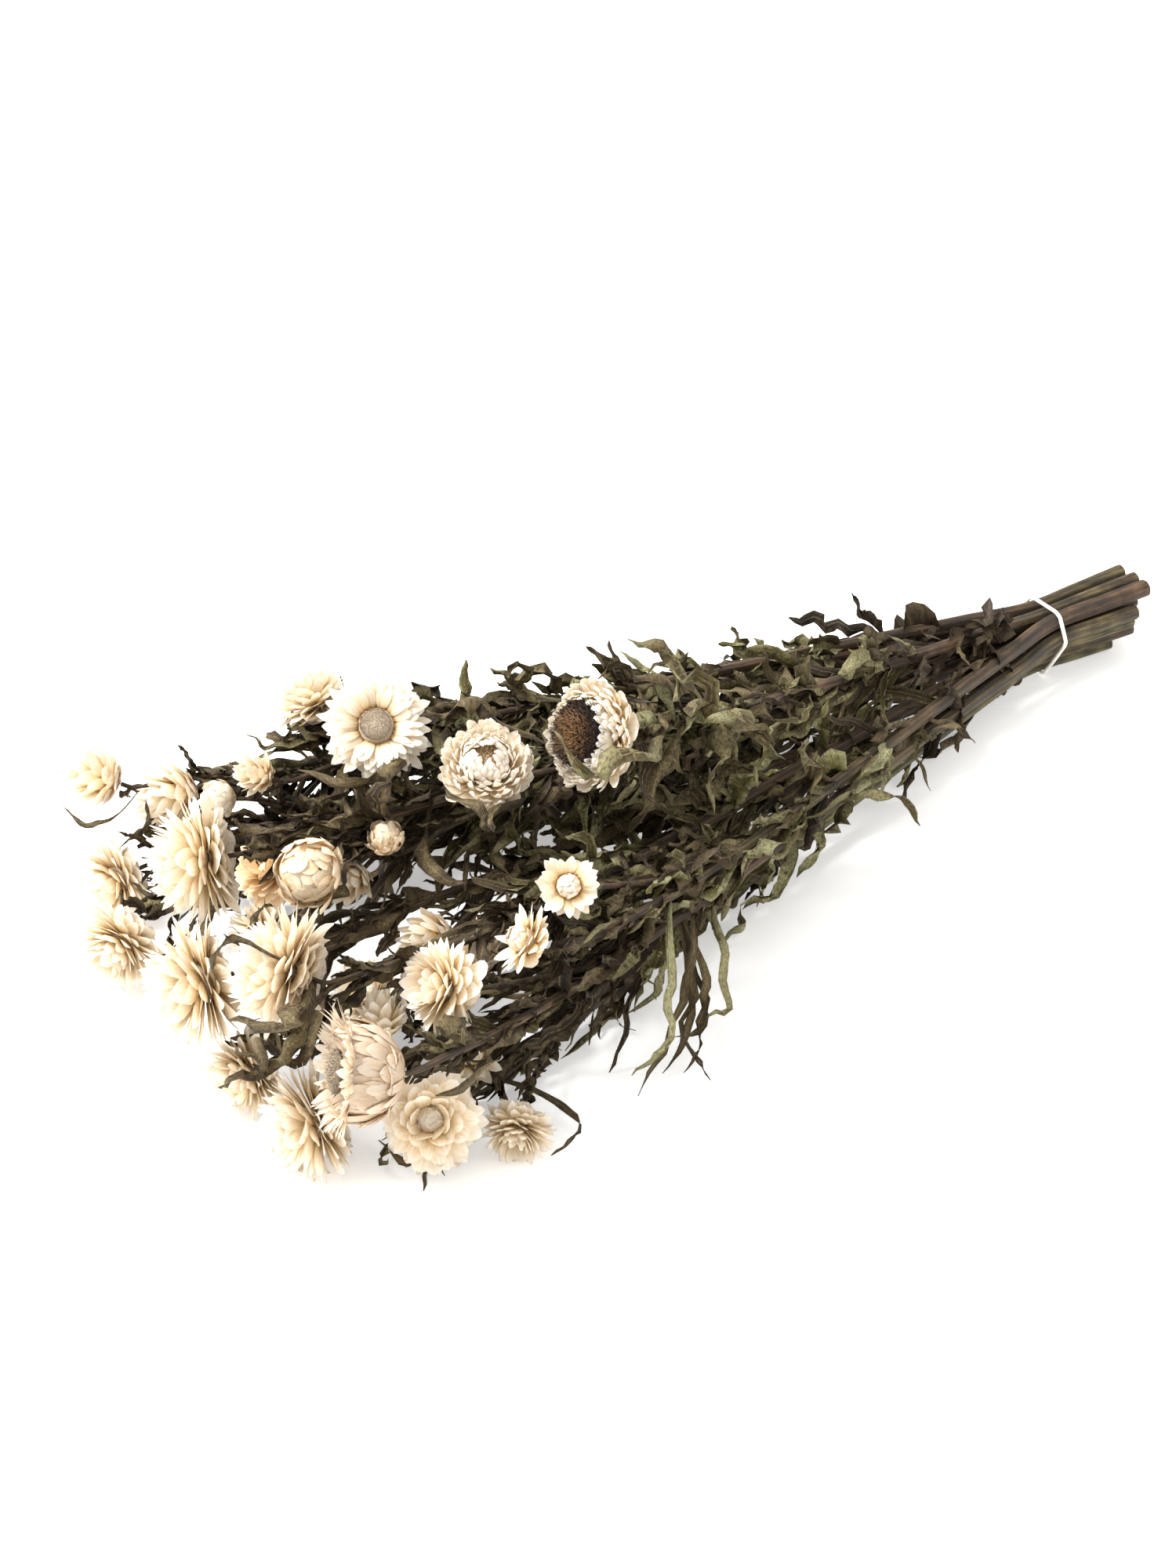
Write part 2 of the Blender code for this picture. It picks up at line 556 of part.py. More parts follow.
def place_leaves(stalks, taken, sizes):
    """Leaves for each stem: those of the list first, and then others set at random along it, whose tips
    stay among the stems. Each is moved or drawn again until it is clear of all else, or left out."""
    draw = np.random.default_rng(SEED)
    runs = [sampled(s["knots"], s["radii"], 4.0) for s in stalks]
    owner = np.concatenate([np.full(len(r[1]), s["stem"]) for s, r in zip(stalks, runs)])
    owner = np.concatenate([owner, np.zeros(len(taken) - len(owner), int), np.zeros(len(HEADS), int)])
    taken = np.vstack([taken, [heart(n)[0] for n in HEADS]])
    sizes = np.concatenate([sizes, [1.1 * KINDS[heart(n)[3]][2] * heart(n)[2] for n in HEADS]])
    lines = np.vstack([r[1] for r in runs])
    mains = {s["stem"]: s["knots"] for s in stalks if is_main(s)}
    leaves = {stem: [] for stem in mains}

    def keep(stem, leaf):
        nonlocal taken, sizes, owner
        others = owner != stem
        good, fine, wide = fits(leaf[0], LEAF_SHAPE * leaf[3] / 2, taken[others], sizes[others])
        if good:
            leaves[stem].append(leaf)
            taken = np.vstack([taken, fine])
            sizes = np.concatenate([sizes, wide])
            owner = np.concatenate([owner, np.full(len(fine), stem)])
        return good

    for row in LEAVES:
        any(keep(row[0], chosen_leaf(row, mains[row[0]], lift)) for lift in LIFTS)
    for _ in range(LEAVES_A_STEM):
        for stem, knots in mains.items():
            tries = (random_leaf(knots, draw) for _ in range(LEAF_TRIES))
            any(strays(leaf, lines) < LEAF_STRAY and keep(stem, leaf) for leaf in tries)
    return leaves


def strays(leaf, lines):
    """How far a leaf's tip lies from the nearest point of any stalk."""
    return np.linalg.norm(lines - leaf[0][-1], axis=1).min()


def random_leaf(knots, draw):
    """A leaf at a random place on a stem, leaning towards its head."""
    place = 2.6 + draw.random() * (len(knots) - 5.2)
    i, t = int(place), place % 1
    along = unit(knots[i + 1] - knots[i])
    e1, e2 = across(along)
    a = draw.random() * 2 * math.pi
    out = math.cos(a) * e1 + math.sin(a) * e2
    lean = math.radians(draw.uniform(*LEAF_LEANS))
    ahead = math.cos(lean) * along + math.sin(lean) * out
    side = unit(np.cross(ahead, out))
    length, width = draw.uniform(*LEAF_LENGTHS), draw.uniform(*LEAF_BREADTHS)
    bend, twist = draw.uniform(*LEAF_BENDS), draw.uniform(-LEAF_TWIST, LEAF_TWIST)
    points, sides, ups = leaf_line(knots[i] * (1 - t) + knots[i + 1] * t, ahead, side, length, bend, twist)
    return points, sides, ups, width


# Meshes

def material(name):
    found = bpy.data.materials.get(name)
    if found:
        return found
    colour, roughness = COLOURS[name]
    made = bpy.data.materials.new(name)
    made.use_nodes = True
    shader = made.node_tree.nodes["Principled BSDF"]
    shader.inputs["Base Color"].default_value = colour
    shader.inputs["Roughness"].default_value = roughness
    made.diffuse_color = colour
    return made


def mesh_object(name, points, faces, collection):
    """An object from points in millimetres."""
    mesh = bpy.data.meshes.new(name)
    mesh.from_pydata([tuple(p * MM) for p in np.asarray(points, float)], [], faces)
    mesh.update()
    made = bpy.data.objects.new(name, mesh)
    collection.objects.link(made)
    return made


def blade(name, points, sides, normals, widths, thick, collection):
    """A leaf: a loft of flat three-cornered sections, with its keel behind, to a point. Each stretch of
    each side is split along the diagonal that stands out, so that a twisted blade never cuts itself."""
    sections = [
        (p + s * w / 2, p - s * w / 2, p - n * thick)
        for p, s, n, w in zip(points[:-1], sides[:-1], normals[:-1], widths[:-1])
    ]
    faces = [(0, 1, 2)]
    for i, (low, high) in enumerate(zip(sections[:-1], sections[1:])):
        for a in range(3):
            b, c = (a + 1) % 3, (a + 2) % 3
            out = low[a] + low[b] + high[a] + high[b] - 2 * (low[c] + high[c])
            la, lb, ha, hb = 3 * i + a, 3 * i + b, 3 * i + 3 + a, 3 * i + 3 + b
            if (low[a] + high[b] - low[b] - high[a]) @ out > 0:
                faces += [(la, hb, ha), (la, lb, hb)]
            else:
                faces += [(la, lb, ha), (lb, hb, ha)]
    tip = 3 * len(sections)
    faces += [(tip - 3 + a, tip - 3 + (a + 1) % 3, tip) for a in range(3)]
    made = mesh_object(name, [p for section in sections for p in section] + [points[-1]], faces, collection)
    turn_outwards(made)
    return made


def turn_outwards(obj):
    """Points all faces of a closed mesh outwards."""
    shape = bmesh.new()
    shape.from_mesh(obj.data)
    bmesh.ops.recalc_face_normals(shape, faces=shape.faces[:])
    if shape.calc_volume(signed=True) < 0:
        bmesh.ops.reverse_faces(shape, faces=shape.faces[:])
    shape.to_mesh(obj.data)
    shape.free()


def tube(name, knots, radii, bevel_resolution, closed, collection):
    """A round stem, or a closed loop: a curve with a bevel and filled caps, made a closed mesh."""
    curve = bpy.data.curves.new(name, "CURVE")
    curve.dimensions = "3D"
    curve.bevel_depth = MM
    curve.bevel_resolution = bevel_resolution
    curve.use_fill_caps = not closed
    spline = curve.splines.new("POLY")
    spline.use_cyclic_u = closed
    spline.points.add(len(knots) - 1)
    for point, knot, radius in zip(spline.points, knots, radii):
        point.co = (*(knot * MM), 1)
        point.radius = radius
    guide = bpy.data.objects.new(name, curve)
    collection.objects.link(guide)
    bpy.context.view_layer.update()
    mesh = bpy.data.meshes.new_from_object(guide.evaluated_get(bpy.context.evaluated_depsgraph_get()))
    bpy.data.objects.remove(guide)
    made = bpy.data.objects.new(name, mesh)
    collection.objects.link(made)
    weld(made)
    return made


def weld(obj):
    """Merges the doubled points of a curve's caps."""
    shape = bmesh.new()
    shape.from_mesh(obj.data)
    bmesh.ops.remove_doubles(shape, verts=shape.verts, dist=1e-6)
    bmesh.ops.recalc_face_normals(shape, faces=shape.faces[:])
    shape.to_mesh(obj.data)
    shape.free()


def fused(obj, repeats):
    """Joins a node's repeats to it by one Boolean union, and removes them."""
    if not repeats.objects:
        return obj
    join = obj.modifiers.new("join", "BOOLEAN")
    join.operation = "UNION"
    join.operand_type = "COLLECTION"
    join.collection = repeats
    join.solver = "MANIFOLD"
    applied(obj)
    shape = bmesh.new()
    shape.from_mesh(obj.data)
    bmesh.ops.triangulate(shape, faces=shape.faces[:])
    drop_folds(shape)
    keep_one_shell(shape)
    shape.to_mesh(obj.data)
    shape.free()
    for item in list(repeats.objects):
        bpy.data.objects.remove(item)
    bpy.data.collections.remove(repeats)
    return obj


def drop_folds(shape):
    """Takes out each pair of triangles on the same three points, which lie flat on each other."""
    seen, folds = {}, []
    for face in shape.faces:
        corners = frozenset(face.verts)
        if corners in seen:
            folds += [face, seen[corners]]
        seen[corners] = face
    bmesh.ops.delete(shape, geom=folds, context="FACES")


def keep_one_shell(shape):
    """Fills a hollow that fusing has sealed, and drops a loose scrap: only the largest shell stays."""
    left, shells = set(shape.verts), []
    while left:
        shell, edge = set(), [left.pop()]
        while edge:
            vertex = edge.pop()
            shell.add(vertex)
            near = {e.other_vert(vertex) for e in vertex.link_edges} & left
            left -= near
            edge += near
        shells.append(shell)
    shells.sort(key=len)
    bmesh.ops.delete(shape, geom=[v for shell in shells[:-1] for v in shell], context="VERTS")


def pressed_flat(obj):
    """Cuts off what would reach below the table, so that the piece rests on small flat spots."""
    if min((obj.matrix_world @ v.co).z for v in obj.data.vertices) > -1e-7:
        return obj
    shape = bmesh.new()
    bmesh.ops.create_cube(shape, size=1.0)
    mesh = bpy.data.meshes.new("below the table")
    bmesh.ops.translate(shape, verts=shape.verts, vec=(0, 0, -0.5))
    shape.to_mesh(mesh)
    shape.free()
    below = bpy.data.objects.new("below the table", mesh)
    bpy.context.scene.collection.objects.link(below)
    cut = obj.modifiers.new("table", "BOOLEAN")
    cut.operation = "DIFFERENCE"
    cut.object = below
    cut.solver = "MANIFOLD"
    applied(obj)
    bpy.data.objects.remove(below)
    return obj


def applied(obj):
    """Puts an object's modifiers into its mesh."""
    bpy.context.view_layer.update()
    mesh = bpy.data.meshes.new_from_object(obj.evaluated_get(bpy.context.evaluated_depsgraph_get()))
    obj.modifiers.clear()
    obj.data = mesh


def collection_of(name, parent):
    made = bpy.data.collections.new(name)
    parent.children.link(made)
    return made


def dressed(obj, colour):
    obj.data.materials.clear()
    obj.data.materials.append(material(colour))
    return obj


# Pieces

def pairs_of(whorl):
    """Each petal of a whorl with the one before it."""
    return list(zip(whorl, whorl[-1:] + whorl[:-1]))


def whorl_rings(whorl):
    """The rings of points of a whorl whose petals are joined side by side up to their notches: the feet,
    the notches, the points, the keels under the petals, and the undersides of the feet."""
    rings = []
    for (petal, before), turn in zip(pairs_of(whorl), between_petals(whorl)):
        between = dict(petal, turn=turn, opening=(petal["opening"] + before["opening"]) / 2)
        between["reach"] = min(petal["reach"], before["reach"])
        (foot, notch), (up, _) = petal_line(between, (0, NOTCH))
        (keel, tip), (keel_up, _) = petal_line(petal, (KEEL, 1))
        rings.append([foot, notch, tip, keel - PETAL_THICK * keel_up, foot - PETAL_THICK * up])
    return [list(ring) for ring in zip(*rings)]


def between_petals(whorl):
    """The direction, as a turn about the head's axis, of the gap before each petal of a whorl."""
    gaps = [(petal["turn"] - before["turn"]) % (2 * math.pi) for petal, before in pairs_of(whorl)]
    return [petal["turn"] - gap / 2 for petal, gap in zip(whorl, gaps)]


def head(name, whorls, bunch):
    """A head as one closed skin: from its bud, or the flat seat of its disc, out and back along each
    whorl of petals from the innermost to the outermost, and down to the point that the stalk meets."""
    middle, n, radius, kind = heart(name)
    count, _, wide, tall, fills = KINDS[kind]
    e1, e2 = across(n)
    points, faces = [], []

    def ring(places):
        points.extend(places)
        return list(range(len(points) - len(places), len(points)))

    def ring_at(turns, out, height):
        away = [math.cos(a) * e1 + math.sin(a) * e2 for a in turns]
        return ring([middle + radius * (out * side + height * n) for side in away])

    def band(upper, lower):
        for (a, b), (c, d) in zip(zip(upper, upper[1:] + upper[:1]), zip(lower, lower[1:] + lower[:1])):
            faces.extend([(a, c, d), (a, d, b)])

    girth, shoulder = (SEAT_GIRTH, 1.0) if fills == "disc" else (BUD_GIRTH, BUD_SHOULDER)
    above = ring_at(between_petals(whorls[-1]), girth * wide, shoulder * tall)
    top = ring_at([0], 0, tall)[0]
    faces += [(above[i], above[(i + 1) % count], top) for i in range(count)]
    for w in reversed(range(len(whorls))):
        feet, notches, tips, keels, under = (ring(r) for r in whorl_rings(whorls[w]))
        shift = w < len(whorls) - 1 and w % 2 == 0  # whorls stand turned by half a petal, to and fro
        band(above, feet[shift:] + feet[:shift])
        for i in range(count):
            j = (i + 1) % count
            faces += [(feet[i], notches[j], feet[j]), (feet[i], notches[i], notches[j])]
            faces += [(notches[i], tips[i], notches[j]), (notches[i], keels[i], tips[i])]
            faces += [(keels[i], notches[j], tips[i]), (under[i], keels[i], notches[i])]
            faces += [(under[i], under[j], keels[i]), (under[j], notches[j], keels[i])]
        above = under
    base = ring_at(between_petals(whorls[0]), BASE_GIRTH * wide, -BASE_DEPTH * tall)
    foot = ring_at([0], 0, -tall)[0]
    band(above, base)
    faces += [(base[(i + 1) % count], base[i], foot) for i in range(count)]
    made = mesh_object(name, points, faces, bunch)
    turn_outwards(made)
    pressed_flat(made)
    return dressed(made, "dry petal")


def disc(name, bunch):
    """The disc of florets in an open head: a low dome, knobbly where its florets stand in rings."""
    middle, n, radius, kind = heart(name)
    _, _, wide, tall, _ = KINDS[kind]
    shape = bmesh.new()
    bmesh.ops.create_uvsphere(shape, u_segments=DISC_SPOKES, v_segments=DISC_RINGS, radius=1.0)
    cut = bmesh.ops.bisect_plane(
        shape,
        geom=shape.verts[:] + shape.edges[:] + shape.faces[:],
        plane_co=(0, 0, DISC_CUT),
        plane_no=(0, 0, 1),
        clear_inner=True,
    )
    rim = [item for item in cut["geom_cut"] if isinstance(item, bmesh.types.BMEdge)]
    bmesh.ops.contextual_create(shape, geom=rim)
    turn = Vector(n).to_track_quat("Z", "Y")
    foot = Vector(middle + n * (tall * radius + SEAT_GAP))
    for v in shape.verts:
        ring = round(math.asin(min(1.0, v.co.z)) / math.pi * DISC_RINGS)
        spoke = round(math.atan2(v.co.y, v.co.x) / (2 * math.pi) * DISC_SPOKES)
        bump = FLORET_BUMP * ((ring + spoke) % 2) * (0 < ring < DISC_RINGS / 2)
        rise = DISC_RISE * radius * max(v.co.z - DISC_CUT, 0.0) + bump
        flat = DISC_SHARE * wide * radius * Vector((v.co.x, v.co.y, 0))
        v.co = (foot + turn @ (flat + Vector((0, 0, rise)))) * MM
    mesh = bpy.data.meshes.new(name)
    shape.to_mesh(mesh)
    shape.free()
    made = bpy.data.objects.new(name.replace("head", "disc"), mesh)
    bunch.objects.link(made)
    turn_outwards(made)
    return dressed(made, "disc floret")


def leafy_stem(stem, stalks, leaves, bunch):
    """A stem with its side stalks and its leaves fused to it."""
    main_one, *sides = [s for s in stalks if s["stem"] == stem]
    name = f"stem_{stem:02d}"
    made = tube(name, main_one["knots"], main_one["radii"], 1, False, bunch)
    repeats = collection_of(name + " leaves", bunch)
    for i, side in enumerate(sides):
        tube(f"stalk {i}", side["knots"], side["radii"], 0, False, repeats)
    for i, (points, edges, ups, width) in enumerate(leaves):
        blade(f"leaf {i}", points, edges, ups, LEAF_SHAPE * width, LEAF_THICK, repeats)
    fused(made, repeats)
    pressed_flat(made)
    return dressed(made, "dry stem and leaf")


def rubber_band(stalks, bunch):
    """The white rubber band: a closed loop stretched round the outline of the stems where they are tied.
    Each of its straight pieces touches the outline from outside, and neighbours meet at a corner."""
    rims = []
    for stalk in filter(is_main, stalks):
        centre, radius = stalk["knots"][2], stalk["radii"][2]
        turns = np.linspace(0, 2 * math.pi, 9)
        rims += [centre + radius * np.array([0, math.cos(a), math.sin(a)]) for a in turns]
    middle = np.mean(rims, axis=0)
    outs = np.array([(math.cos(a), math.sin(a)) for a in np.linspace(0, 2 * math.pi, BAND_POINTS + 1)])
    reach = ((rims - middle)[:, 1:] @ outs.T).max(axis=0) + BAND_RADIUS + BAND_GAP
    corners = [np.linalg.solve(outs[i : i + 2], reach[i : i + 2]) for i in range(BAND_POINTS)]
    points = [middle + [0, *corner] for corner in corners]
    made = tube("rubber_band", points, np.full(len(points), BAND_RADIUS), 1, True, bunch)
    pressed_flat(made)
    return dressed(made, "white rubber")


def main():
    for old in list(bpy.data.objects):
        bpy.data.objects.remove(old)
    bunch = bpy.data.collections.new("dried strawflowers")
    bpy.context.scene.collection.children.link(bunch)
    stalks = push_apart(make_stalks())
    petals, taken, sizes = clear_petals(stalks)
    leaves = place_leaves(stalks, taken, sizes)
    for name in HEADS:
        head(name, petals[name], bunch)
        if KINDS[HEADS[name][6]][4] == "disc":
            disc(name, bunch)
    for stem in leaves:
        leafy_stem(stem, stalks, leaves[stem], bunch)
    rubber_band(stalks, bunch)


main()
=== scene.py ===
# %% [markdown]
# # A bunch of dried strawflowers
#
# Fifteen leafy stems lie on a white table under a rubber band and fan out to thirty-one papery heads.
# This script dresses the plain model of the bunch: it makes the thin bracts of the heads, the furry
# discs, the ribbed stems, the twisted leaves and the band, and gives each the material of the real one.
# A bunch like this is too fine to model by hand, so each form is a formula that numpy works out for
# hundreds of petals or leaves at once.

# %% Load the plain model
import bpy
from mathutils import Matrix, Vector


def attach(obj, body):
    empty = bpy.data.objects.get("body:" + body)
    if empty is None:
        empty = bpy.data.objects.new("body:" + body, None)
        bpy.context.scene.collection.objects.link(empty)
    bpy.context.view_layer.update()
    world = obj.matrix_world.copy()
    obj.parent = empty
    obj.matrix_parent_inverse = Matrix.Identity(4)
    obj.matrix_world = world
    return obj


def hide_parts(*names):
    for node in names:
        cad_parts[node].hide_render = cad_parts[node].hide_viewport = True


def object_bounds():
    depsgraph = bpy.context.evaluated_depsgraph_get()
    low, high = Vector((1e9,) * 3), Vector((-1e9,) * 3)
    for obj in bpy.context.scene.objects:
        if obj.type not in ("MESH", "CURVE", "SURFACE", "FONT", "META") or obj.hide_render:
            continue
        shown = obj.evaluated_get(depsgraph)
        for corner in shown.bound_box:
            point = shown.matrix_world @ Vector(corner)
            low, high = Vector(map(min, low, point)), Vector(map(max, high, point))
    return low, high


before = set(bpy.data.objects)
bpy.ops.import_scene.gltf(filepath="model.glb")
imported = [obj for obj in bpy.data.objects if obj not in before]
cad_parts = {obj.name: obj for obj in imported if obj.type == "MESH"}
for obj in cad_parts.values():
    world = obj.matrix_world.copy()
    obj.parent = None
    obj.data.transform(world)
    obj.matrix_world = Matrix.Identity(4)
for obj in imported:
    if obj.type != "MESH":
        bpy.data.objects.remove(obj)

cad_box = [[float(value) for value in corner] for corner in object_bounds()]
print("plain model, lowest and highest corner in metres:", cad_box)

# %% Modules and units
import math

import bpy
import numpy as np
from mathutils import Vector

MM = 0.001  # the layout is worked out in millimetres, as a florist measures, and meshes are in metres
print("one millimetre is", MM, "of Blender's metres")


def unit(v):
    """Vectors of length one, for one vector or for rows of them."""
    v = np.asarray(v, float)
    return v / np.maximum(np.linalg.norm(v, axis=-1, keepdims=True), 1e-12)


def swung(a, b, angle):
    """The direction a swung by angles in radians towards b, square to it: cos(angle) a + sin(angle) b."""
    angle = angle[..., None]
    return np.cos(angle) * a + np.sin(angle) * b


def smooth_noise(draw, count, stations, waves=3):
    """Rows of soft random waves between -1 and 1: each is a sum of sines that shrink as they quicken."""
    share = np.linspace(0, 2 * math.pi, stations)
    total = np.zeros((count, stations))
    for k in range(1, waves + 1):
        start = draw.uniform(0, 2 * math.pi, (count, 1))
        pace = draw.uniform(0.6, 1.4, (count, 1)) * k
        total += np.sin(pace * share + start) / k
    return total / sum(1 / k for k in range(1, waves + 1))

# %% [markdown]
# ## Where the heads and stems are
#
# The heads are a list of places: each stands where the camera sees it in the photograph. Their stems are
# not listed. Each runs on a smooth curve from its place under the band to its head, and then the stems
# push each other apart, as they do in a tied bunch. The plain model was laid out by the same rule and with
# the same numbers, so the fine stems lie exactly where the plain ones are.

# %% Sizes of the bunch, in millimetres
TIE_X = 219.0  # the rubber band's place along the bunch
TIE_CENTRE = np.array([TIE_X, 48.0, 20.7])
BUTT_X = 266.0  # the mean place of the cut ends
BUTT_SPREAD = 1.12  # how far the stems splay again past the band
TABLE_GAP = 0.4  # stalks and leaves stay this far above the table
TABLE_PRESS = -3.6  # petals and the band may reach this far below it, and are pressed flat there

STEM_PITCH = 7.75  # between neighbouring stems under the band
STEM_RADIUS_TIE = 3.45
STEM_RADIUS_FAR = 1.6
STALK_RADIUS = 1.25  # a side stalk where it leaves its stem
STALK_TIP_RADIUS = 1.0  # any stalk where it meets its head
KNOT_STEP = 34.0  # between the bends of a stem
STALK_KNOTS = 4
BUTT_WANDER = 7.0  # the cut ends lie at most this far ahead or behind
SET_OUT, SIDE_SET_OUT = 0.36, 0.35  # the share of its reach over which a stalk keeps its first way
ARRIVE, SIDE_ARRIVE = (12, 1.3), (4, 1.0)  # and its head's way, over so much plus so many head's radii
FORK = (52, 1.2)  # the same for the way from a head to the fork of its side stalk
CLEARANCE = 1.0  # between the stalks of different stems, after they have pushed each other apart
PUSH_ROUNDS = 260
CROWD_PUSH = 0.35  # the share of an overlap that one round of pushing takes away, stalk from stalk
HEAD_PUSH = 0.4  # stalk from head
TABLE_PUSH = 0.5  # stalk from table
STALK_SMOOTHING = 0.02
HEAD_ROOM = 0.62  # stalks keep out of a ball of this share of a head's radius
STRAIGHT_END = 6.0  # a stalk runs straight into the back of its head over this length
PUSH_STEP = 7.0  # between the points of a stalk that push and are pushed
ROOM_STEP = 4.0  # between those that petals and leaves keep clear of

print("the band is", BUTT_X - TIE_X, "mm from the cut ends")

# %% The heads, one by one
# name: (x, y, z of the middle of the head, heading and rise of its face in degrees, radius, kind, stem)
# The first head that names a stem sits at its end, and the later ones sit on side stalks.
HEADS = {
    "head_01": (-223, 123, 60, 156, 24, 15, "goblet", 1),
    "head_02": (-197, 106, 51, 180, 0, 16, "goblet", 1),
    "head_03": (-229, 106, 19, 180, -8, 19, "full", 2),
    "head_04": (-249, 61, 20, 200, -20, 20, "full", 7),
    "head_05": (-232, 22, 80, 150, -10, 26, "full", 5),
    "head_06": (-136, 95, 85, 97, 50, 18, "full", 3),
    "head_07": (-141, 32, 107, -123, 43, 24, "open", 4),
    "head_08": (-118, -15, 107, -123, 61, 22, "curled", 6),
    "head_09": (-80, -27, 113, -175, 26, 26, "globe", 12),
    "head_10": (-186, 89, 55, 167, 13, 9, "bud", 2),
    "head_11": (-172, 78, 68, 168, 28, 10, "goblet", 3),
    "head_12": (-190, 37, 53, -174, 50, 17, "full", 5),
    "head_13": (-197, -9, 80, -142, 21, 15, "bud", 8),
    "head_14": (-172, 0, 62, -162, -13, 11, "goblet", 8),
    "head_15": (-158, -3, 79, -151, 63, 8, "bud", 6),
    "head_16": (-254, -13, 50, 165, -8, 27, "full", 9),
    "head_17": (-238, -57, 81, 130, 8, 26, "full", 10),
    "head_18": (-193, -46, 43, -162, 60, 17, "full", 9),
    "head_19": (-244, -34, 15.5, 178, -12, 19, "full", 11),
    "head_20": (-236, -111, 66, 160, 12, 24, "scaly", 13),
    "head_21": (-241, -77, 18.3, 170, -10, 24, "full", 11),
    "head_22": (-203, -110, 28, -123, 40, 21, "full", 14),
    "head_23": (-168, -82, 27, -107, 45, 15, "star", 14),
    "head_24": (-170, -118, 11, -133, -15, 15, "full", 14),
    "head_25": (-187, -90, 72, 170, 20, 19, "full", 13),
    "head_26": (-152, -92, 82, 155, 35, 15, "star", 15),
    "head_27": (-153, -65, 58, 90, 60, 12, "goblet", 15),
    "head_28": (-125, -86, 92, -123, 40, 14, "star", 15),
    "head_29": (-156, -34, 47, 180, 5, 14, "goblet", 10),
    "head_30": (-192, 49, 11.5, 175, -5, 16, "full", 7),
    "head_31": (-204, -76, 54, 60, 60, 12, "goblet", 13),
}

print(len(HEADS), "heads on", len({row[7] for row in HEADS.values()}), "stems")

# %% The kinds of head
# Each kind of head: how many petals a whorl has, its whorls from the outside in, as (angle from the
# head's axis at the root, how far a petal curls in by its tip, length as a share of the radius), then
# the radius and height of the heart, as shares of the head's radius, and what fills it.
KINDS = {
    "full": (12, ((98, -12, 1.0), (72, 8, 1.0), (44, 18, 0.92)), 0.30, 0.34, "bud"),
    "open": (16, ((94, -4, 1.0), (76, 4, 0.88)), 0.36, 0.20, "disc"),
    "curled": (13, ((104, 26, 1.0), (78, 40, 1.0), (52, 36, 0.8)), 0.40, 0.24, "disc"),
    "globe": (13, ((104, 40, 1.0), (80, 60, 1.0), (56, 60, 0.92)), 0.56, 0.24, "disc"),
    "scaly": (14, ((108, 52, 1.0), (84, 48, 1.1), (58, 40, 1.15)), 0.38, 0.40, "disc"),
    "bud": (8, ((80, 104, 1.7), (52, 84, 1.4)), 0.55, 0.74, "bud"),
    "star": (11, ((86, -4, 1.0),), 0.36, 0.38, "bud"),
    "goblet": (8, ((62, 22, 1.15), (34, 14, 1.2)), 0.36, 0.46, "bud"),
}

print("kinds of head:", ", ".join(KINDS))

# %% Where a head sits on its stalk
SEAT_GAP = 0.35  # between a stalk's end and the head that it carries
HEART_BACK = 0.2  # a heart lies this share of the radius behind the head's middle
BALL_AHEAD = 0.25  # and the ball of the whole head this share before its heart


def facing(heading, rise):
    """The direction of a head's face, from its heading and rise in degrees."""
    h, r = math.radians(heading), math.radians(rise)
    return np.array([math.cos(h) * math.cos(r), math.sin(h) * math.cos(r), math.sin(r)])


def across(n):
    """Two directions square to n and to each other."""
    helper = np.array([0.0, 0.0, 1.0]) if abs(n[2]) < 0.8 else np.array([1.0, 0.0, 0.0])
    e1 = unit(np.cross(helper, n))
    return e1, np.cross(n, e1)


def heads_of(stem):
    """The names of the heads on a stem, the one at its end first."""
    return [name for name, row in HEADS.items() if row[7] == stem]


def heart(name):
    """The middle of a head's heart, the head's facing, its radius and its kind."""
    x, y, z, heading, rise, radius, kind, _ = HEADS[name]
    n = facing(heading, rise)
    return np.array([x, y, z], float) - HEART_BACK * radius * n, n, radius, kind


def seat(name):
    """Where the stalk of a head ends, just behind its heart."""
    middle, n, radius, kind = heart(name)
    return middle - n * (KINDS[kind][3] * radius + SEAT_GAP)


hearts = [heart(name) for name in HEADS]
HEAD_RADII = np.array([radius for _, _, radius, _ in hearts], float)
HEAD_BALLS = np.array([middle + BALL_AHEAD * radius * n for middle, n, radius, _ in hearts])
print("the stalk of head_05 ends at", seat("head_05").round(1))

# %% Places under the band
def bezier(a, da, b, db, count):
    """count points on the cubic curve from a, leaving along da, to b, arriving along db."""
    t = np.linspace(0.0, 1.0, count)[:, None]
    c1, c2 = a + da, b - db
    return (1 - t) ** 3 * a + 3 * (1 - t) ** 2 * t * c1 + 3 * (1 - t) * t**2 * c2 + t**3 * b


def tie_slots(count):
    """Places of the stems under the band: the points of a triangular grid that lie nearest its middle."""
    grid = [
        (STEM_PITCH * (i + 0.5 * (j % 2)), STEM_PITCH * j * math.sqrt(3) / 2)
        for i in range(-4, 5)
        for j in range(-4, 5)
    ]
    middle = np.array([0.25 * STEM_PITCH, 0.29 * STEM_PITCH])
    grid = sorted(grid, key=lambda p: (round(math.dist(p, middle), 3), p))[:count]
    return np.array(grid) - np.mean(grid, axis=0)


def matched(slots, targets):
    """Gives each target its slot so that the sum of squared distances is least, by swapping pairs.
    Stems that run between places matched so spread out without crossing."""
    order = list(range(len(slots)))
    swapped = True
    while swapped:
        swapped = False
        for i in range(len(order)):
            for j in range(i + 1, len(order)):
                now = slots[order[i]] @ targets[i] + slots[order[j]] @ targets[j]
                other = slots[order[j]] @ targets[i] + slots[order[i]] @ targets[j]
                if other > now + 1e-9:
                    order[i], order[j] = order[j], order[i]
                    swapped = True
    return slots[order]


print("five places under the band:", tie_slots(5).round(1).tolist())

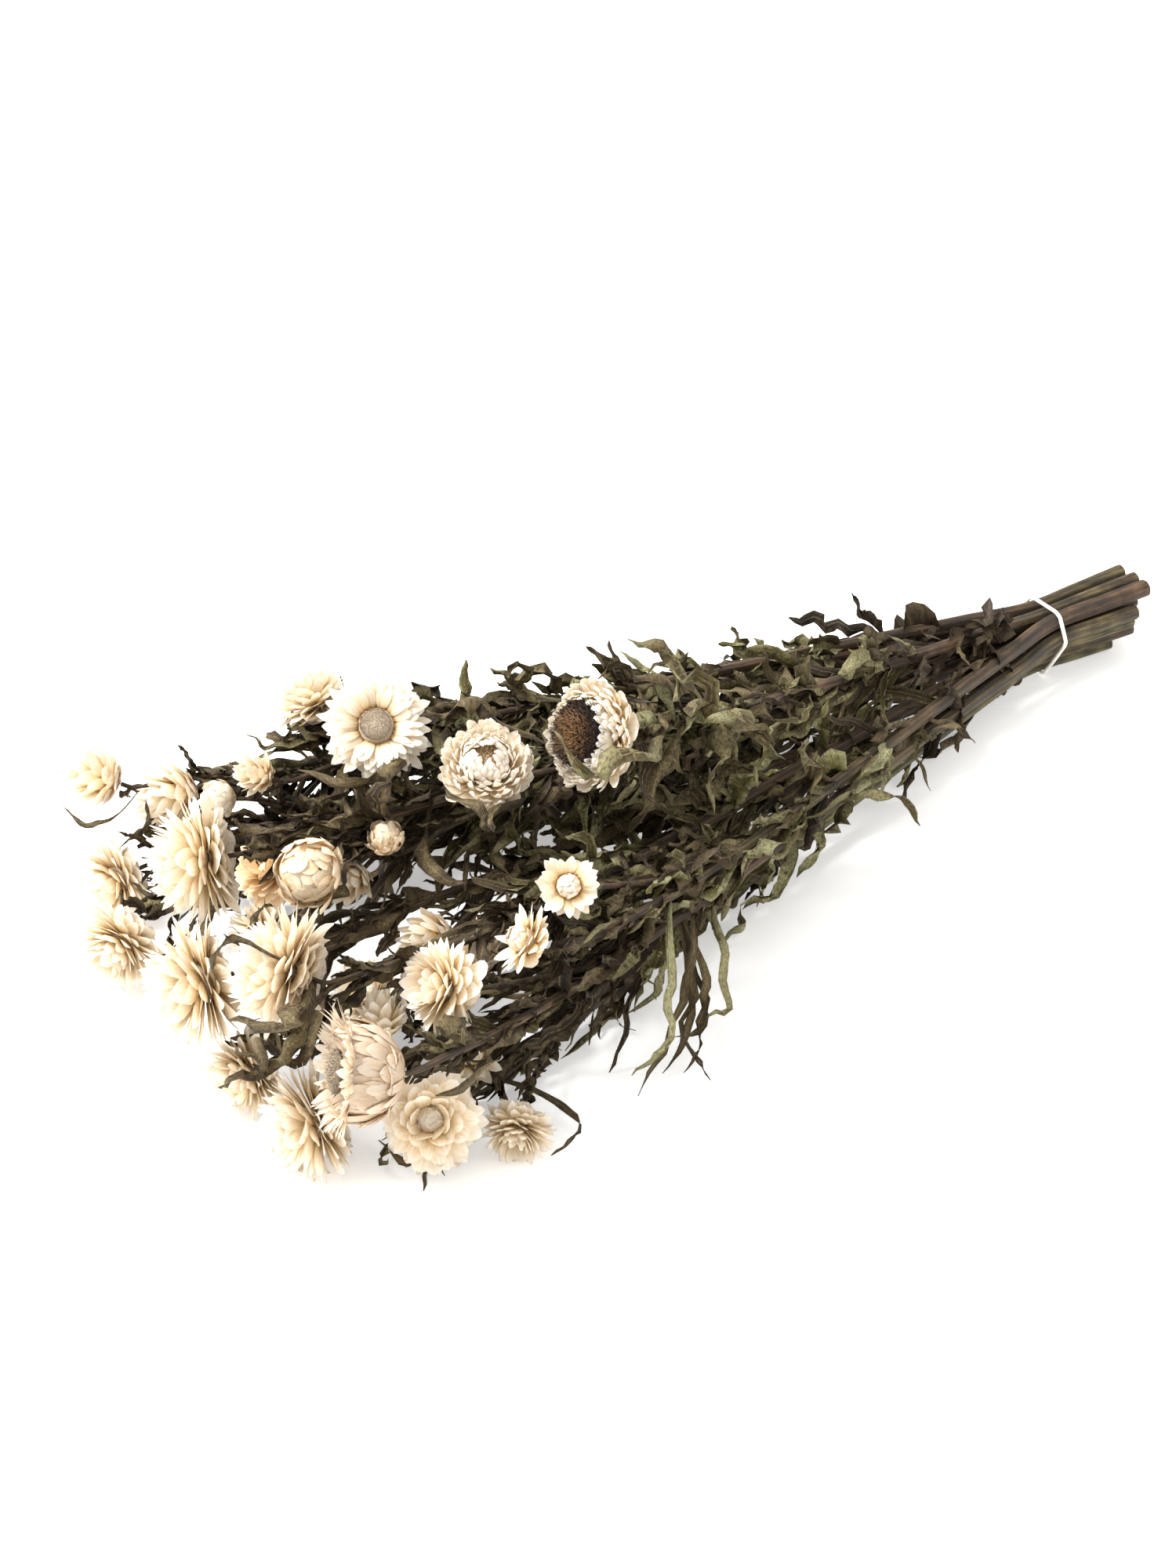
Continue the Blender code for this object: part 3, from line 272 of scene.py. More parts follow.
# %% The first course of a stem, and of a side stalk
def main_stalk(name, slot, number):
    """Knots of a stem from its cut end, through the band, to the head at its end."""
    end, (_, n, radius, _) = seat(name), heart(name)
    tie = TIE_CENTRE + [0, slot[0], slot[1]]
    butt = tie + [BUTT_X - TIE_X + BUTT_WANDER * math.sin(2.4 * number), 0, 0]
    butt[1:] = TIE_CENTRE[1:] + (tie[1:] - TIE_CENTRE[1:]) * BUTT_SPREAD
    last = end - STRAIGHT_END * n
    reach = np.linalg.norm(last - tie)
    count = int(round(reach / KNOT_STEP)) + 1
    arriving = (ARRIVE[0] + ARRIVE[1] * radius) * n
    run = bezier(tie, SET_OUT * reach * unit(end - tie), last, arriving, count)
    return np.vstack([butt, (butt + tie) / 2, run, end])


def side_stalk(name, stem_knots):
    """Knots of a side stalk, from inside its stem to its head."""
    end, (_, n, radius, _) = seat(name), heart(name)
    away = np.linalg.norm(stem_knots[3:-2] - end, axis=1)
    first = 3 + int(np.argmin(np.abs(away - (FORK[0] + FORK[1] * radius))))
    start = stem_knots[first]
    along = unit(stem_knots[first + 1] - stem_knots[first - 1])
    last = end - STRAIGHT_END * n
    reach = np.linalg.norm(last - start)
    arriving = (SIDE_ARRIVE[0] + SIDE_ARRIVE[1] * radius) * n
    run = bezier(start, SIDE_SET_OUT * reach * along, last, arriving, STALK_KNOTS)
    return np.vstack([run, end])


print("a stem in the middle has", len(main_stalk("head_01", np.zeros(2), 0)), "knots")

# %% Every stalk
def is_main(stalk):
    """Whether a stalk is the stem itself, and not a side stalk."""
    return stalk["head"] == heads_of(stalk["stem"])[0]


def make_stalks():
    """Every stalk, before the stems push each other apart: the stem that it belongs to, its knots, their
    radii, which of them are held in place, and the head that it carries."""
    stems = sorted({row[7] for row in HEADS.values()})
    ends = np.array([seat(heads_of(s)[0])[1:] for s in stems])
    slots = matched(tie_slots(len(stems)), ends - ends.mean(axis=0))
    stalks = []
    for number, stem in enumerate(stems):
        names = heads_of(stem)
        knots = main_stalk(names[0], slots[number], number)
        share = np.clip((np.arange(len(knots)) - 2) / (len(knots) - 5), 0, 1)
        radii = STEM_RADIUS_TIE + (STEM_RADIUS_FAR - STEM_RADIUS_TIE) * share
        radii *= 1 + 0.08 * math.sin(3.7 * number)
        radii[:2] *= [1.12, 1.05]
        radii[-2:] = STALK_TIP_RADIUS
        held = np.zeros(len(knots), bool)
        held[[0, 1, 2, -2, -1]] = True
        stalks.append(dict(stem=stem, knots=knots, radii=radii, held=held, head=names[0]))
        for name in names[1:]:
            side = side_stalk(name, knots)
            held = np.zeros(len(side), bool)
            held[[0, -2, -1]] = True
            radii = np.linspace(STALK_RADIUS, STALK_TIP_RADIUS, len(side))
            stalks.append(dict(stem=stem, knots=side, radii=radii, held=held, head=name))
    return stalks


print(len(make_stalks()), "stalks before they push each other apart")

# %% How far a stalk is from being clear
def sampled(knots, values, step):
    """Places every few millimetres along a run of straight pieces, and the points and values there. A
    place is the number of the knot before it, and the share t of the way from that knot to the next."""
    parts = np.maximum(2, (np.linalg.norm(np.diff(knots, axis=0), axis=1) / step).astype(int))
    lower = np.repeat(np.arange(len(parts)), parts)
    t = (np.arange(len(lower)) - (np.cumsum(parts) - parts)[lower]) / parts[lower]
    lower, t = np.append(lower, len(parts) - 1), np.append(t, 1.0)
    points = knots[lower] * (1 - t)[:, None] + knots[lower + 1] * t[:, None]
    return (lower, t), points, values[lower] * (1 - t) + values[lower + 1] * t


def crowding(points, radii, owner):
    """How far each point of a stalk should move to be clear of the stalks of other stems."""
    squares = (points**2).sum(axis=1)
    far_squared = squares[:, None] + squares[None, :] - 2 * points @ points.T
    want = radii[:, None] + radii[None, :] + CLEARANCE
    a, b = np.nonzero((far_squared < want**2) & (owner[:, None] != owner[None, :]))
    gap = points[a] - points[b]
    far = np.maximum(np.linalg.norm(gap, axis=1), 1e-6)
    push = np.zeros_like(points)
    np.add.at(push, a, gap / far[:, None] * (want[a, b] - far)[:, None])
    return CROWD_PUSH * push


def dodging(points, radii, end, own):
    """How far each point of a stalk should move to be clear of the heads, its own one from its side only,
    and of the table."""
    off = points[:, None] - HEAD_BALLS
    away = np.linalg.norm(off, axis=2)
    lack = np.maximum(HEAD_ROOM * HEAD_RADII + radii[:, None] + CLEARANCE - away, 0)
    near_end = np.linalg.norm(points - end, axis=1) < heart(own)[2]
    lack[near_end, list(HEADS).index(own)] = 0
    move = HEAD_PUSH * (off / away[:, :, None] * lack[:, :, None]).sum(axis=1)
    move[:, 2] += TABLE_PUSH * np.maximum(radii + TABLE_GAP - points[:, 2], 0)
    return move


leg = np.array([[0, 0, 0], [KNOT_STEP, 0, 0]])
print("a leg of a stem pushes with", len(sampled(leg, np.ones(2), PUSH_STEP)[1]), "points")

# %% Stems push each other apart
def knot_moves(stalk, lower, share, move):
    """The moves of a stalk's points shared out to its knots, with a little smoothing. Held knots stay."""
    knots, share = stalk["knots"], share[:, None]
    moved = (np.abs(move).sum(axis=1) > 1e-9)[:, None]
    total, weight = np.zeros_like(knots), np.zeros((len(knots), 1))
    for places, part in ((lower, 1 - share), (lower + 1, share)):
        np.add.at(total, places, part * move)
        np.add.at(weight, places, part * moved)
    change = total / np.maximum(weight, 1.0)
    change[1:-1] += STALK_SMOOTHING * ((knots[:-2] + knots[2:]) / 2 - knots[1:-1])
    change[stalk["held"]] = 0
    return change


def push_apart(stalks):
    """Moves the free knots until stalks of different stems are clear of each other, of the heads and of
    the table, as the stems of a tied bunch press each other apart. It smooths each stalk as it goes."""
    mains = {s["stem"]: s for s in stalks if is_main(s)}
    for _ in range(PUSH_ROUNDS):
        runs = [sampled(s["knots"], s["radii"], PUSH_STEP) for s in stalks]
        owner = np.concatenate([np.full(len(r[1]), s["stem"]) for s, r in zip(stalks, runs)])
        pushes = crowding(np.vstack([r[1] for r in runs]), np.concatenate([r[2] for r in runs]), owner)
        first = 0
        for stalk, (places, points, radii) in zip(stalks, runs):
            move = pushes[first : first + len(points)]
            move = move + dodging(points, radii, stalk["knots"][-1], stalk["head"])
            first += len(points)
            stalk["knots"] = stalk["knots"] + knot_moves(stalk, *places, move)
        for stalk in stalks:
            main = mains[stalk["stem"]]
            if stalk is not main:
                near = np.argmin(np.linalg.norm(main["knots"] - stalk["knots"][0], axis=1))
                stalk["knots"][0] = main["knots"][near]
    for stalk in stalks:
        stalk["knots"] = stalk["knots"].round(2)
    return stalks


stalks = push_apart(make_stalks())
print(len(stalks), "stalks,", sum(is_main(s) for s in stalks), "of them main stems")

# %% [markdown]
# ## Where the bracts go
#
# What looks like a petal on a strawflower is a bract, a dry scale. In a crowded bunch the bracts of one
# head bend away from its neighbours. The plain model has one to three whorls of them, and each was bent
# inwards until it was clear of the other heads and stems. The same steps run here, and the fine bracts
# then follow those whorls.

# %% Whorls of bracts
PETAL_SPACE = 0.45  # between petals of different heads
HEART_ROOM = 1.12  # petals keep out of a ball of this share of another heart's radius
FOOT_LOW = -0.75  # petals stand between these shares of the heart's height
FOOT_HIGH = 0.25
LEAST_SPREAD = 17.0  # degrees between a petal and the one behind it
PETAL_PROBES = (0.1, 0.3, 0.55, 0.78, 1.0)  # shares of a petal's length that are tested for room
PROBE_WIDTHS = (0.6, 0.8, 1.0, 0.5, 0.1)  # and the share of its full width there
PETAL_TRIALS = (  # (degrees that a petal bends in, share of its length), tried in turn
    (0, 1), (-10, 1), (-20, 1), (-32, 1), (12, 0.95), (0, 0.82),
    (-20, 0.8), (-40, 0.75), (0, 0.62), (-30, 0.6), (0, 0.45), (-40, 0.45),
)
DISC_SHARE = 0.88  # a disc's radius as a share of the cup that carries it
DISC_RISE = 0.16  # a disc's height as a share of its head's radius
BELOW_DISC, ABOVE_DISC, BESIDE_DISC = 0.6, 2.2, 0.7  # millimetres that petals keep off their disc
HEAD_TURN = 1.3  # radians that each head is turned on from the one before
PETAL_FILL = 0.62  # the share of its place round the head that a petal fills
WHORL_SHRINK = 0.08  # each whorl stands further in by this share of the heart's radius


def petals_of(name):
    """Every petal of a head, whorl by whorl from the outside in: where it stands, how far it opens and
    curls, and its length. They differ a little, by sines of their number."""
    middle, n, radius, kind = heart(name)
    count, whorls, core, tall, _ = KINDS[kind]
    sides, turn = across(n), HEAD_TURN * int(name[-2:])

    def petal(w, i, opening, curl, length):
        height = tall * (FOOT_LOW + (FOOT_HIGH - FOOT_LOW) * (w + 1) / len(whorls))
        wobble = 0.1 * math.sin(12.9 * i + 7.1 * w + turn)
        return dict(
            middle=middle + height * radius * n,
            axis=n,
            turn=turn + 2 * math.pi * (i + 0.5 * (w % 2) + wobble) / count,
            sides=sides,
            foot=core * radius * (1 - WHORL_SHRINK * w),
            opening=opening + 4 * math.sin(5.3 * i + turn),
            curl=curl,
            reach=radius * (length * (1 + 0.07 * math.sin(8.7 * i + turn)) - core),
            half=math.pi * PETAL_FILL * radius * math.sin(math.radians(min(opening, 90))) / count,
        )

    return [[petal(w, i, *whorl) for i in range(count)] for w, whorl in enumerate(whorls)]


def on_pieces(points, places):
    """Points at places along a run of straight pieces, a whole number at each corner."""
    corners = np.arange(len(points))
    return np.column_stack([np.interp(places, corners, points[:, k]) for k in range(3)])


def petal_line(petal, shares):
    """A petal's centreline at the given shares of its length. It lies in a plane through the head's axis,
    and turns evenly from the opening angle by the curl."""
    steps = 12
    out = math.cos(petal["turn"]) * petal["sides"][0] + math.sin(petal["turn"]) * petal["sides"][1]
    angles = np.radians(petal["opening"] - petal["curl"] * (np.arange(steps) + 0.5) / steps)
    ahead = swung(petal["axis"], out, angles)
    line = np.vstack([np.zeros(3), np.cumsum(ahead, axis=0) * petal["reach"] / steps])
    line += petal["middle"] + petal["foot"] * out
    return on_pieces(line, np.asarray(shares) * steps)


print("head_05 starts with", sum(len(w) for w in petals_of("head_05")), "plain bracts")

# %% Bracts bend clear of their neighbours
def leans_on_disc(name, points):
    """Whether a petal would touch the disc of florets in its own head."""
    middle, n, radius, kind = heart(name)
    _, _, wide, tall, fills = KINDS[kind]
    if fills != "disc":
        return False
    height = (points - middle) @ n - tall * radius
    out = np.linalg.norm(points - middle - np.outer((points - middle) @ n, n), axis=1)
    level = (height > -BELOW_DISC) & (height < DISC_RISE * radius + ABOVE_DISC)
    return bool((level & (out < DISC_SHARE * wide * radius + BESIDE_DISC)).any())


def stay_in_front(whorl, behind, odd):
    """Bends each petal in until it is clear of the two petals behind it, so that whorls never cross."""
    for i, petal in enumerate(whorl):
        other = behind[(i + (-1 if odd else 1)) % len(behind)]
        most = min(behind[i]["opening"], other["opening"]) - LEAST_SPREAD
        petal["opening"] = min(petal["opening"], most)
        ends = min(behind[i]["opening"] - behind[i]["curl"], other["opening"] - other["curl"])
        petal["curl"] = max(petal["curl"], petal["opening"] - ends)


def clear_petals(stalks):
    """The petals of every head, each bent inwards, and if need be shortened, until it is clear of the
    other heads, the stalks and the table."""
    runs = [sampled(s["knots"], s["radii"], ROOM_STEP) for s in stalks]
    taken = np.vstack([r[1] for r in runs])
    sizes = np.concatenate([r[2] for r in runs])
    cores = [(middle, HEART_ROOM * KINDS[kind][2] * radius) for middle, _, radius, kind in hearts]
    done = {}
    for number, name in enumerate(HEADS):
        others = cores[:number] + cores[number + 1 :]
        blocks = np.vstack([taken] + [middle for middle, _ in others])
        block_sizes = np.concatenate([sizes, [size for _, size in others]])
        kept, probes = [], []
        for whorl in petals_of(name):
            kept.append([])
            for petal in whorl:
                for bend, length in PETAL_TRIALS:
                    trial = dict(petal, opening=petal["opening"] + bend, reach=petal["reach"] * length)
                    if leans_on_disc(name, petal_line(trial, np.linspace(0.1, 1, 12))):
                        continue
                    points = petal_line(trial, PETAL_PROBES)
                    half = np.array(PROBE_WIDTHS) * petal["half"]
                    gap = np.linalg.norm(points[:, None] - blocks, axis=2) - block_sizes - half[:, None]
                    if gap.min() > PETAL_SPACE and (points[:, 2] - 0.7 * half).min() > TABLE_PRESS:
                        break
                kept[-1].append(trial)
            if len(kept) > 1:
                stay_in_front(kept[-1], kept[-2], len(kept) % 2)
            for petal in kept[-1]:
                probes.append((petal_line(petal, PETAL_PROBES), np.array(PROBE_WIDTHS) * petal["half"]))
        done[name] = kept
        taken = np.vstack([taken] + [p[0] for p in probes])
        sizes = np.concatenate([sizes] + [0.8 * p[1] for p in probes])
    return done, taken, sizes


petals, taken, taken_sizes = clear_petals(stalks)
print(sum(len(w) for head in petals.values() for w in head), "plain bracts bent clear")

# %% [markdown]
# ## Where the larger leaves go
#
# Some leaves show well in the photograph, and they are listed with a point on their way and their tip. The
# others stand at random places along the stems, and are drawn again until they are clear of all else.

# %% The leaves that show best
LEAVES_A_STEM = 4  # besides those of the list
LIFTS = (0, 3, -3, 6, -6, 9, 13, -10, 17)  # tried in turn on a leaf of the list
LEAF_POINTS = 4
LEAF_SHAPE = np.array([0.4, 1.0, 0.85, 0.0])  # shares of a leaf's width, from its foot to its tip
LEAF_PROBES = 5  # between two points of a leaf, to test that it is clear
LEAF_TRIES = 160
LEAF_STRAY = 15.0  # the tip of a leaf at a random place lies at most this far from some stalk
LEAF_SPACE = 0.5
LEAF_ROOM = 1.1  # leaves keep out of a ball of this share of a heart's radius
LEAF_LENGTHS = (38.0, 74.0)
LEAF_BREADTHS = (5.5, 9.5)
LEAF_LEANS = (10, 44)  # degrees from the stem
LEAF_BENDS = (-1.0, 1.3)  # radians over the leaf's length
LEAF_TWIST = 2.0
SEED = 7

# The leaves that show best, as (stem, x, y, z of the root, of a point on the way and of the tip, width).
# A root is taken to the nearest place on its stem.
LEAVES = (
    (13, (-57, -71, 46), (-87, -108, 30), (-115, -121, 8), 5.5),
    (13, (-50, -69, 46), (-83, -109, 25), (-86, -126, 6), 5),
    (15, (-71, -76, 61), (-98, -114, 34), (-116, -118, 16), 6),
    (13, (-45, -66, 46), (-62, -103, 32), (-75, -110, 22), 6),
    (13, (-78, -79, 48), (-84, -90, 33), (-101, -92, 24), 7),
    (13, (39, -34, 39), (60, -45, 42), (69, -59, 32), 8),
    (13, (34, -37, 39), (26, -42, 27), (16, -44, 16), 8),
    (15, (109, -6, 43), (119, -14, 40), (125, -23, 33), 5),
    (4, (132, 54, 45), (124, 60, 56), (120, 63, 68), 7),
    (12, (-28, -18, 94), (-34, -11, 116), (-46, -1, 126), 7),
    (12, (-26, -18, 94), (-56, -37, 98), (-89, -20, 126), 7),
    (12, (-24, -18, 94), (-17, -38, 104), (0, -55, 88), 8),
    (12, (-31, -18, 95), (-50, -38, 88), (-69, -40, 68), 8),
    (3, (28, 66, 44), (14, 71, 53), (1, 82, 54), 7),
    (2, (-133, 95, 29), (-158, 111, 42), (-182, 132, 46), 10),
    (2, (-136, 94, 30), (-154, 113, 53), (-173, 129, 50), 6),
    (3, (-151, 76, 62), (-159, 84, 73), (-168, 94, 78), 4),
    (1, (-205, 118, 55), (-228, 114, 50), (-240, 122, 58), 5),
    (2, (-205, 100, 22), (-232, 117, 32), (-243, 124, 34), 6),
    (9, (-232, -18, 52), (-240, -40, 84), (-231, -38, 99), 6),
    (10, (-224, -66, 78), (-246, -82, 66), (-265, -74, 66), 8),
    (11, (-205, -32, 24), (-218, -40, 36), (-226, -30, 44), 6),
    (11, (-225, -34, 19), (-250, -52, 32), (-268, -46, 26), 6),
    (14, (-150, -104, 18), (-146, -121, 12), (-160, -128, 3), 5),
    (15, (-120, -78, 74), (-130, -98, 44), (-145, -98, 18), 6),
    (15, (-108, -76, 78), (-128, -94, 50), (-152, -92, 30), 7),
    (3, (-30, 70, 50), (-50, 85, 55), (-76, 101, 55), 8),
    (3, (-37, 70, 51), (-59, 83, 47), (-79, 96, 47), 7),
    (8, (-104, 10, 62), (-113, 4, 76), (-109, 6, 92), 8),
    (1, (-130, 105, 44), (-137, 113, 57), (-134, 115, 67), 5),
    (4, (165, 54, 40), (147, 54, 36), (130, 58, 28), 12),
    (13, (14, -44, 41), (-2, -55, 26), (-17, -50, 17), 9),
)

print(len(LEAVES), "leaves are listed, and each stem gets", LEAVES_A_STEM, "more where there is room")

# %% Leaves find room
def leaf_line(root, ahead, side, length, bend, twist):
    """A leaf's centreline and widthwise directions. It sets out along ahead and bends about side, evenly
    along its length, while its blade turns about its own line."""
    share = np.linspace(0, 1, LEAF_POINTS)
    normal = np.cross(side, ahead)
    angle = bend * (share[:-1] + 0.5 / (LEAF_POINTS - 1))
    steps = np.cumsum(swung(ahead, normal, angle), axis=0) * length / (LEAF_POINTS - 1)
    up = np.cross(side, swung(ahead, normal, bend * share))
    return root + np.vstack([np.zeros(3), steps]), unit(swung(side, up, twist * share))


def fits(points, half, blocks, block_sizes):
    """Whether a leaf is clear of all else and of the table, probed at and between its sections."""
    places = np.linspace(0, len(points) - 1, LEAF_PROBES * (len(points) - 1) + 1)
    fine = on_pieces(points, places)
    wide = np.interp(places, np.arange(len(points)), np.maximum(half, 0.2))
    gap = np.linalg.norm(fine[:, None] - blocks[None], axis=2) - block_sizes[None] - wide[:, None]
    return gap.min() > LEAF_SPACE and (fine[:, 2] - wide).min() > TABLE_GAP, fine, wide


def chosen_leaf(row, knots, lift):
    """A leaf of the list: an arc from its stem through the given points, raised by lift."""
    _, root, way, tip, width = row
    line = sampled(knots, np.zeros(len(knots)), 2.0)[1]
    start = line[np.argmin(np.linalg.norm(line - np.array(root, float), axis=1))]
    way = np.array(way, float) + [0, 0, lift]
    tip = np.array(tip, float) + [0, 0, lift]
    t = np.linspace(0, 1, LEAF_POINTS)[:, None]
    bend = 2 * way - (start + tip) / 2
    points = (1 - t) ** 2 * start + 2 * (1 - t) * t * bend + t**2 * tip
    along = unit(np.gradient(points, axis=0))
    turn = 0.9 * t[:, 0] - 0.4 + 0.5 * math.sin(width * 7 + root[0])
    level = unit(np.cross(along, [0.0, 0.0, 1.0]) + 1e-3)
    return points, swung(level, np.cross(level, along), turn), width


def random_leaf(knots, draw):
    """A leaf at a random place on a stem, leaning towards its head."""
    place = 2.6 + draw.random() * (len(knots) - 5.2)
    i, t = int(place), place % 1
    along = unit(knots[i + 1] - knots[i])
    e1, e2 = across(along)
    a = draw.random() * 2 * math.pi
    out = math.cos(a) * e1 + math.sin(a) * e2
    lean = math.radians(draw.uniform(*LEAF_LEANS))
    ahead = math.cos(lean) * along + math.sin(lean) * out
    side = unit(np.cross(ahead, out))
    length, width = draw.uniform(*LEAF_LENGTHS), draw.uniform(*LEAF_BREADTHS)
    bend, twist = draw.uniform(*LEAF_BENDS), draw.uniform(-LEAF_TWIST, LEAF_TWIST)
    points, sides = leaf_line(knots[i] * (1 - t) + knots[i + 1] * t, ahead, side, length, bend, twist)
    return points, sides, width


arc, _ = leaf_line(np.zeros(3), *np.eye(3)[:2], 50.0, 0.6, 0.0)
print("50 mm of leaf bent by 0.6 radians span", round(float(np.linalg.norm(arc[-1])), 1), "mm")

# %% The larger leaves take their places
def place_leaves(stalks, taken, sizes):
    """Leaves for each stem: those of the list first, and then others set at random along it, whose tips
    stay among the stems. Each is moved or drawn again until it is clear of all else, or left out."""
    draw = np.random.default_rng(SEED)
    runs = [sampled(s["knots"], s["radii"], ROOM_STEP) for s in stalks]
    owner = np.concatenate([np.full(len(r[1]), s["stem"]) for s, r in zip(stalks, runs)])
    owner = np.concatenate([owner, np.zeros(len(taken) - len(owner), int), np.zeros(len(HEADS), int)])
    taken = np.vstack([taken, [middle for middle, _, _, _ in hearts]])
    sizes = np.concatenate([sizes, [LEAF_ROOM * KINDS[kind][2] * radius for _, _, radius, kind in hearts]])
    lines = np.vstack([r[1] for r in runs])
    mains = {s["stem"]: s["knots"] for s in stalks if is_main(s)}
    leaves = {stem: [] for stem in mains}

    def strays(tip):
        return np.linalg.norm(lines - tip, axis=1).min() > LEAF_STRAY

    def keep(stem, leaf):
        nonlocal taken, sizes, owner
        others = owner != stem
        good, fine, wide = fits(leaf[0], LEAF_SHAPE * leaf[2] / 2, taken[others], sizes[others])
        if good:
            leaves[stem].append(leaf)
            taken = np.vstack([taken, fine])
            sizes = np.concatenate([sizes, wide])
            owner = np.concatenate([owner, np.full(len(fine), stem)])
        return good

    for row in LEAVES:  # any() stops at the first try that is kept
        any(keep(row[0], chosen_leaf(row, mains[row[0]], lift)) for lift in LIFTS)
    for _ in range(LEAVES_A_STEM):
        for stem, knots in mains.items():
            tries = (random_leaf(knots, draw) for _ in range(LEAF_TRIES))
            any(keep(stem, leaf) for leaf in tries if not strays(leaf[0][-1]))
    return leaves


leaves = place_leaves(stalks, taken, taken_sizes)
print(sum(map(len, leaves.values())), "larger leaves placed")

# %% [markdown]
# ## Thin blades, hundreds at once
#
# A bract is as thin as paper, and a leaf hardly thicker. Each could be cut from a plane and bent by hand,
# but a bunch has thousands. So one formula lays a six-cornered section at each station of a centreline,
# and arrays hold every blade of a head or stem at once. The shell is closed, so light can be told to pass
# through it, and it could be printed.

# %% The section of a blade
ACROSS = np.array([-1, -0.4, 0.4, 1, 0.4, -0.4])  # its corners, as shares of the half width
THROUGH = np.array([0, 0.5, 0.5, 0, -0.5, -0.5])  # and of the thickness, upper face first
CORNERS = len(ACROSS)
END_QUADS = np.array([[0, 1, 4, 5], [1, 2, 3, 4]])


def blade_points(centre, side, up, half, cup, thick):
    """Every corner of every blade. At share a of the half width w and share b of the thickness t it is
    centre + a w side + (cup w a squared + b t) up, so the blade is a trough that is cup w deep."""
    rise = (cup * half)[..., None] * ACROSS**2 + thick[..., None] * THROUGH
    sideways = (half[..., None] * ACROSS)[..., None] * side[..., None, :]
    return centre[..., None, :] + sideways + rise[..., None] * up[..., None, :]


def blade_faces(count, stations):
    """Quads between neighbouring sections, and two quads over each end, for every blade. They face
    outwards where side, up and the way along the blade are a right-handed set."""
    along, corner = np.meshgrid(np.arange(stations - 1), np.arange(CORNERS), indexing="ij")
    low, right = along * CORNERS + corner, along * CORNERS + (corner + 1) % CORNERS
    walls = np.stack([low, low + CORNERS, right + CORNERS, right], axis=-1).reshape(-1, 4)
    tip = END_QUADS[:, ::-1] + (stations - 1) * CORNERS
    one = np.vstack([walls, END_QUADS, tip])
    first = np.arange(count) * stations * CORNERS
    return (one + first[:, None, None]).reshape(-1, 4)


print("a blade of seven stations has", 2 * len(blade_faces(1, 7)), "triangles")

# %% Blades as one mass of points, faces and values
def blade_mass(centre, side, up, half, cup, thick, shares, **values):
    """A mass is a dictionary of points, faces, map places and values. The map runs across a blade by u and
    along it by v. Values have one number for each blade, or for each station of each blade."""
    count, stations = half.shape
    points = blade_points(centre, side, up, half, cup, thick)
    u = np.broadcast_to((ACROSS + 1) / 2, (count, stations, CORNERS))
    v = np.broadcast_to(shares[..., None], (count, stations, CORNERS))
    upper = np.broadcast_to(np.sign(THROUGH) / 2 + 0.5, (count, stations, CORNERS))
    spread = {"upper": upper.ravel()}
    for key, value in values.items():
        value = np.asarray(value, float)
        value = value[:, None, None] if value.ndim == 1 else value[..., None]
        spread[key] = np.broadcast_to(value, (count, stations, CORNERS)).ravel()
    return dict(
        points=points.reshape(-1, 3),
        faces=[blade_faces(count, stations)],
        uv=np.stack([u, v], axis=-1).reshape(-1, 2),
        values=spread,
    )


def joined(masses):
    """Several masses as one. A value that one of them lacks is zero there."""
    keys = sorted({key for mass in masses for key in mass["values"]})
    counts = [len(mass["points"]) for mass in masses]
    starts = np.cumsum([0] + counts[:-1])
    return dict(
        points=np.vstack([mass["points"] for mass in masses]),
        faces=[faces + start for mass, start in zip(masses, starts) for faces in mass["faces"]],
        uv=np.vstack([mass["uv"] for mass in masses]),
        values={
            key: np.concatenate([m["values"].get(key, np.zeros(n)) for m, n in zip(masses, counts)])
            for key in keys
        },
    )


sheet = dict(points=np.zeros((4, 3)), faces=[np.array([[0, 1, 2, 3]])], uv=np.zeros((4, 2)), values={})
print("two sheets joined have", len(joined([sheet, sheet])["points"]), "points")

# %% Putting a mass into Blender
PRESS_FROM = 1.5  # below this height points are pressed together towards the table


def above_table(points):
    """Points with their heights pressed softly onto the table: a height z under the limit p becomes
    p exp((z - p) / p), which keeps the order of points and never reaches zero."""
    points = points.copy()
    z = points[:, 2]
    points[:, 2] = np.where(z < PRESS_FROM, PRESS_FROM * np.exp((z - PRESS_FROM) / PRESS_FROM), z)
    return points


def make_piece(name, mass, material, slot, *nodes):
    """One object from a mass: it rides on the bunch, takes the given material, and stands for CAD nodes.
    Its slot is not used.
    """
    mesh = bpy.data.meshes.new(name)
    faces = [face for block in mass["faces"] for face in block.tolist()]
    mesh.from_pydata((above_table(mass["points"]) * MM).tolist(), [], faces)
    corners = np.empty(len(mesh.loops), int)
    mesh.loops.foreach_get("vertex_index", corners)
    layer = mesh.uv_layers.new(name="UVMap")
    layer.data.foreach_set("uv", mass["uv"][corners].ravel())
    for key, value in mass["values"].items():
        mesh.attributes.new(key, "FLOAT", "POINT").data.foreach_set("value", value.astype(np.float32))
    mesh.polygons.foreach_set("use_smooth", np.ones(len(mesh.polygons), bool))
    mesh.materials.append(material)
    mesh.update()
    made = bpy.data.objects.new(name, mesh)
    bpy.context.scene.collection.objects.link(made)
    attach(made, "root")
    if nodes:
        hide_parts(*nodes)
    if "upper" in mass["values"]:  # a blade has crisp rims, and looks like a cushion without them
        rim = mass["values"]["upper"] == 0.5
        ends = np.empty(2 * len(mesh.edges), int)
        mesh.edges.foreach_get("vertices", ends)
        crisp = rim[ends].reshape(-1, 2).all(axis=1)
        mesh.attributes.new("sharp_edge", "BOOLEAN", "EDGE").data.foreach_set("value", crisp)
    triangles = sum(len(block) * (block.shape[1] - 2) for block in mass["faces"])
    print(f"{name}: {triangles} triangles")
    return triangles


total_triangles = 0

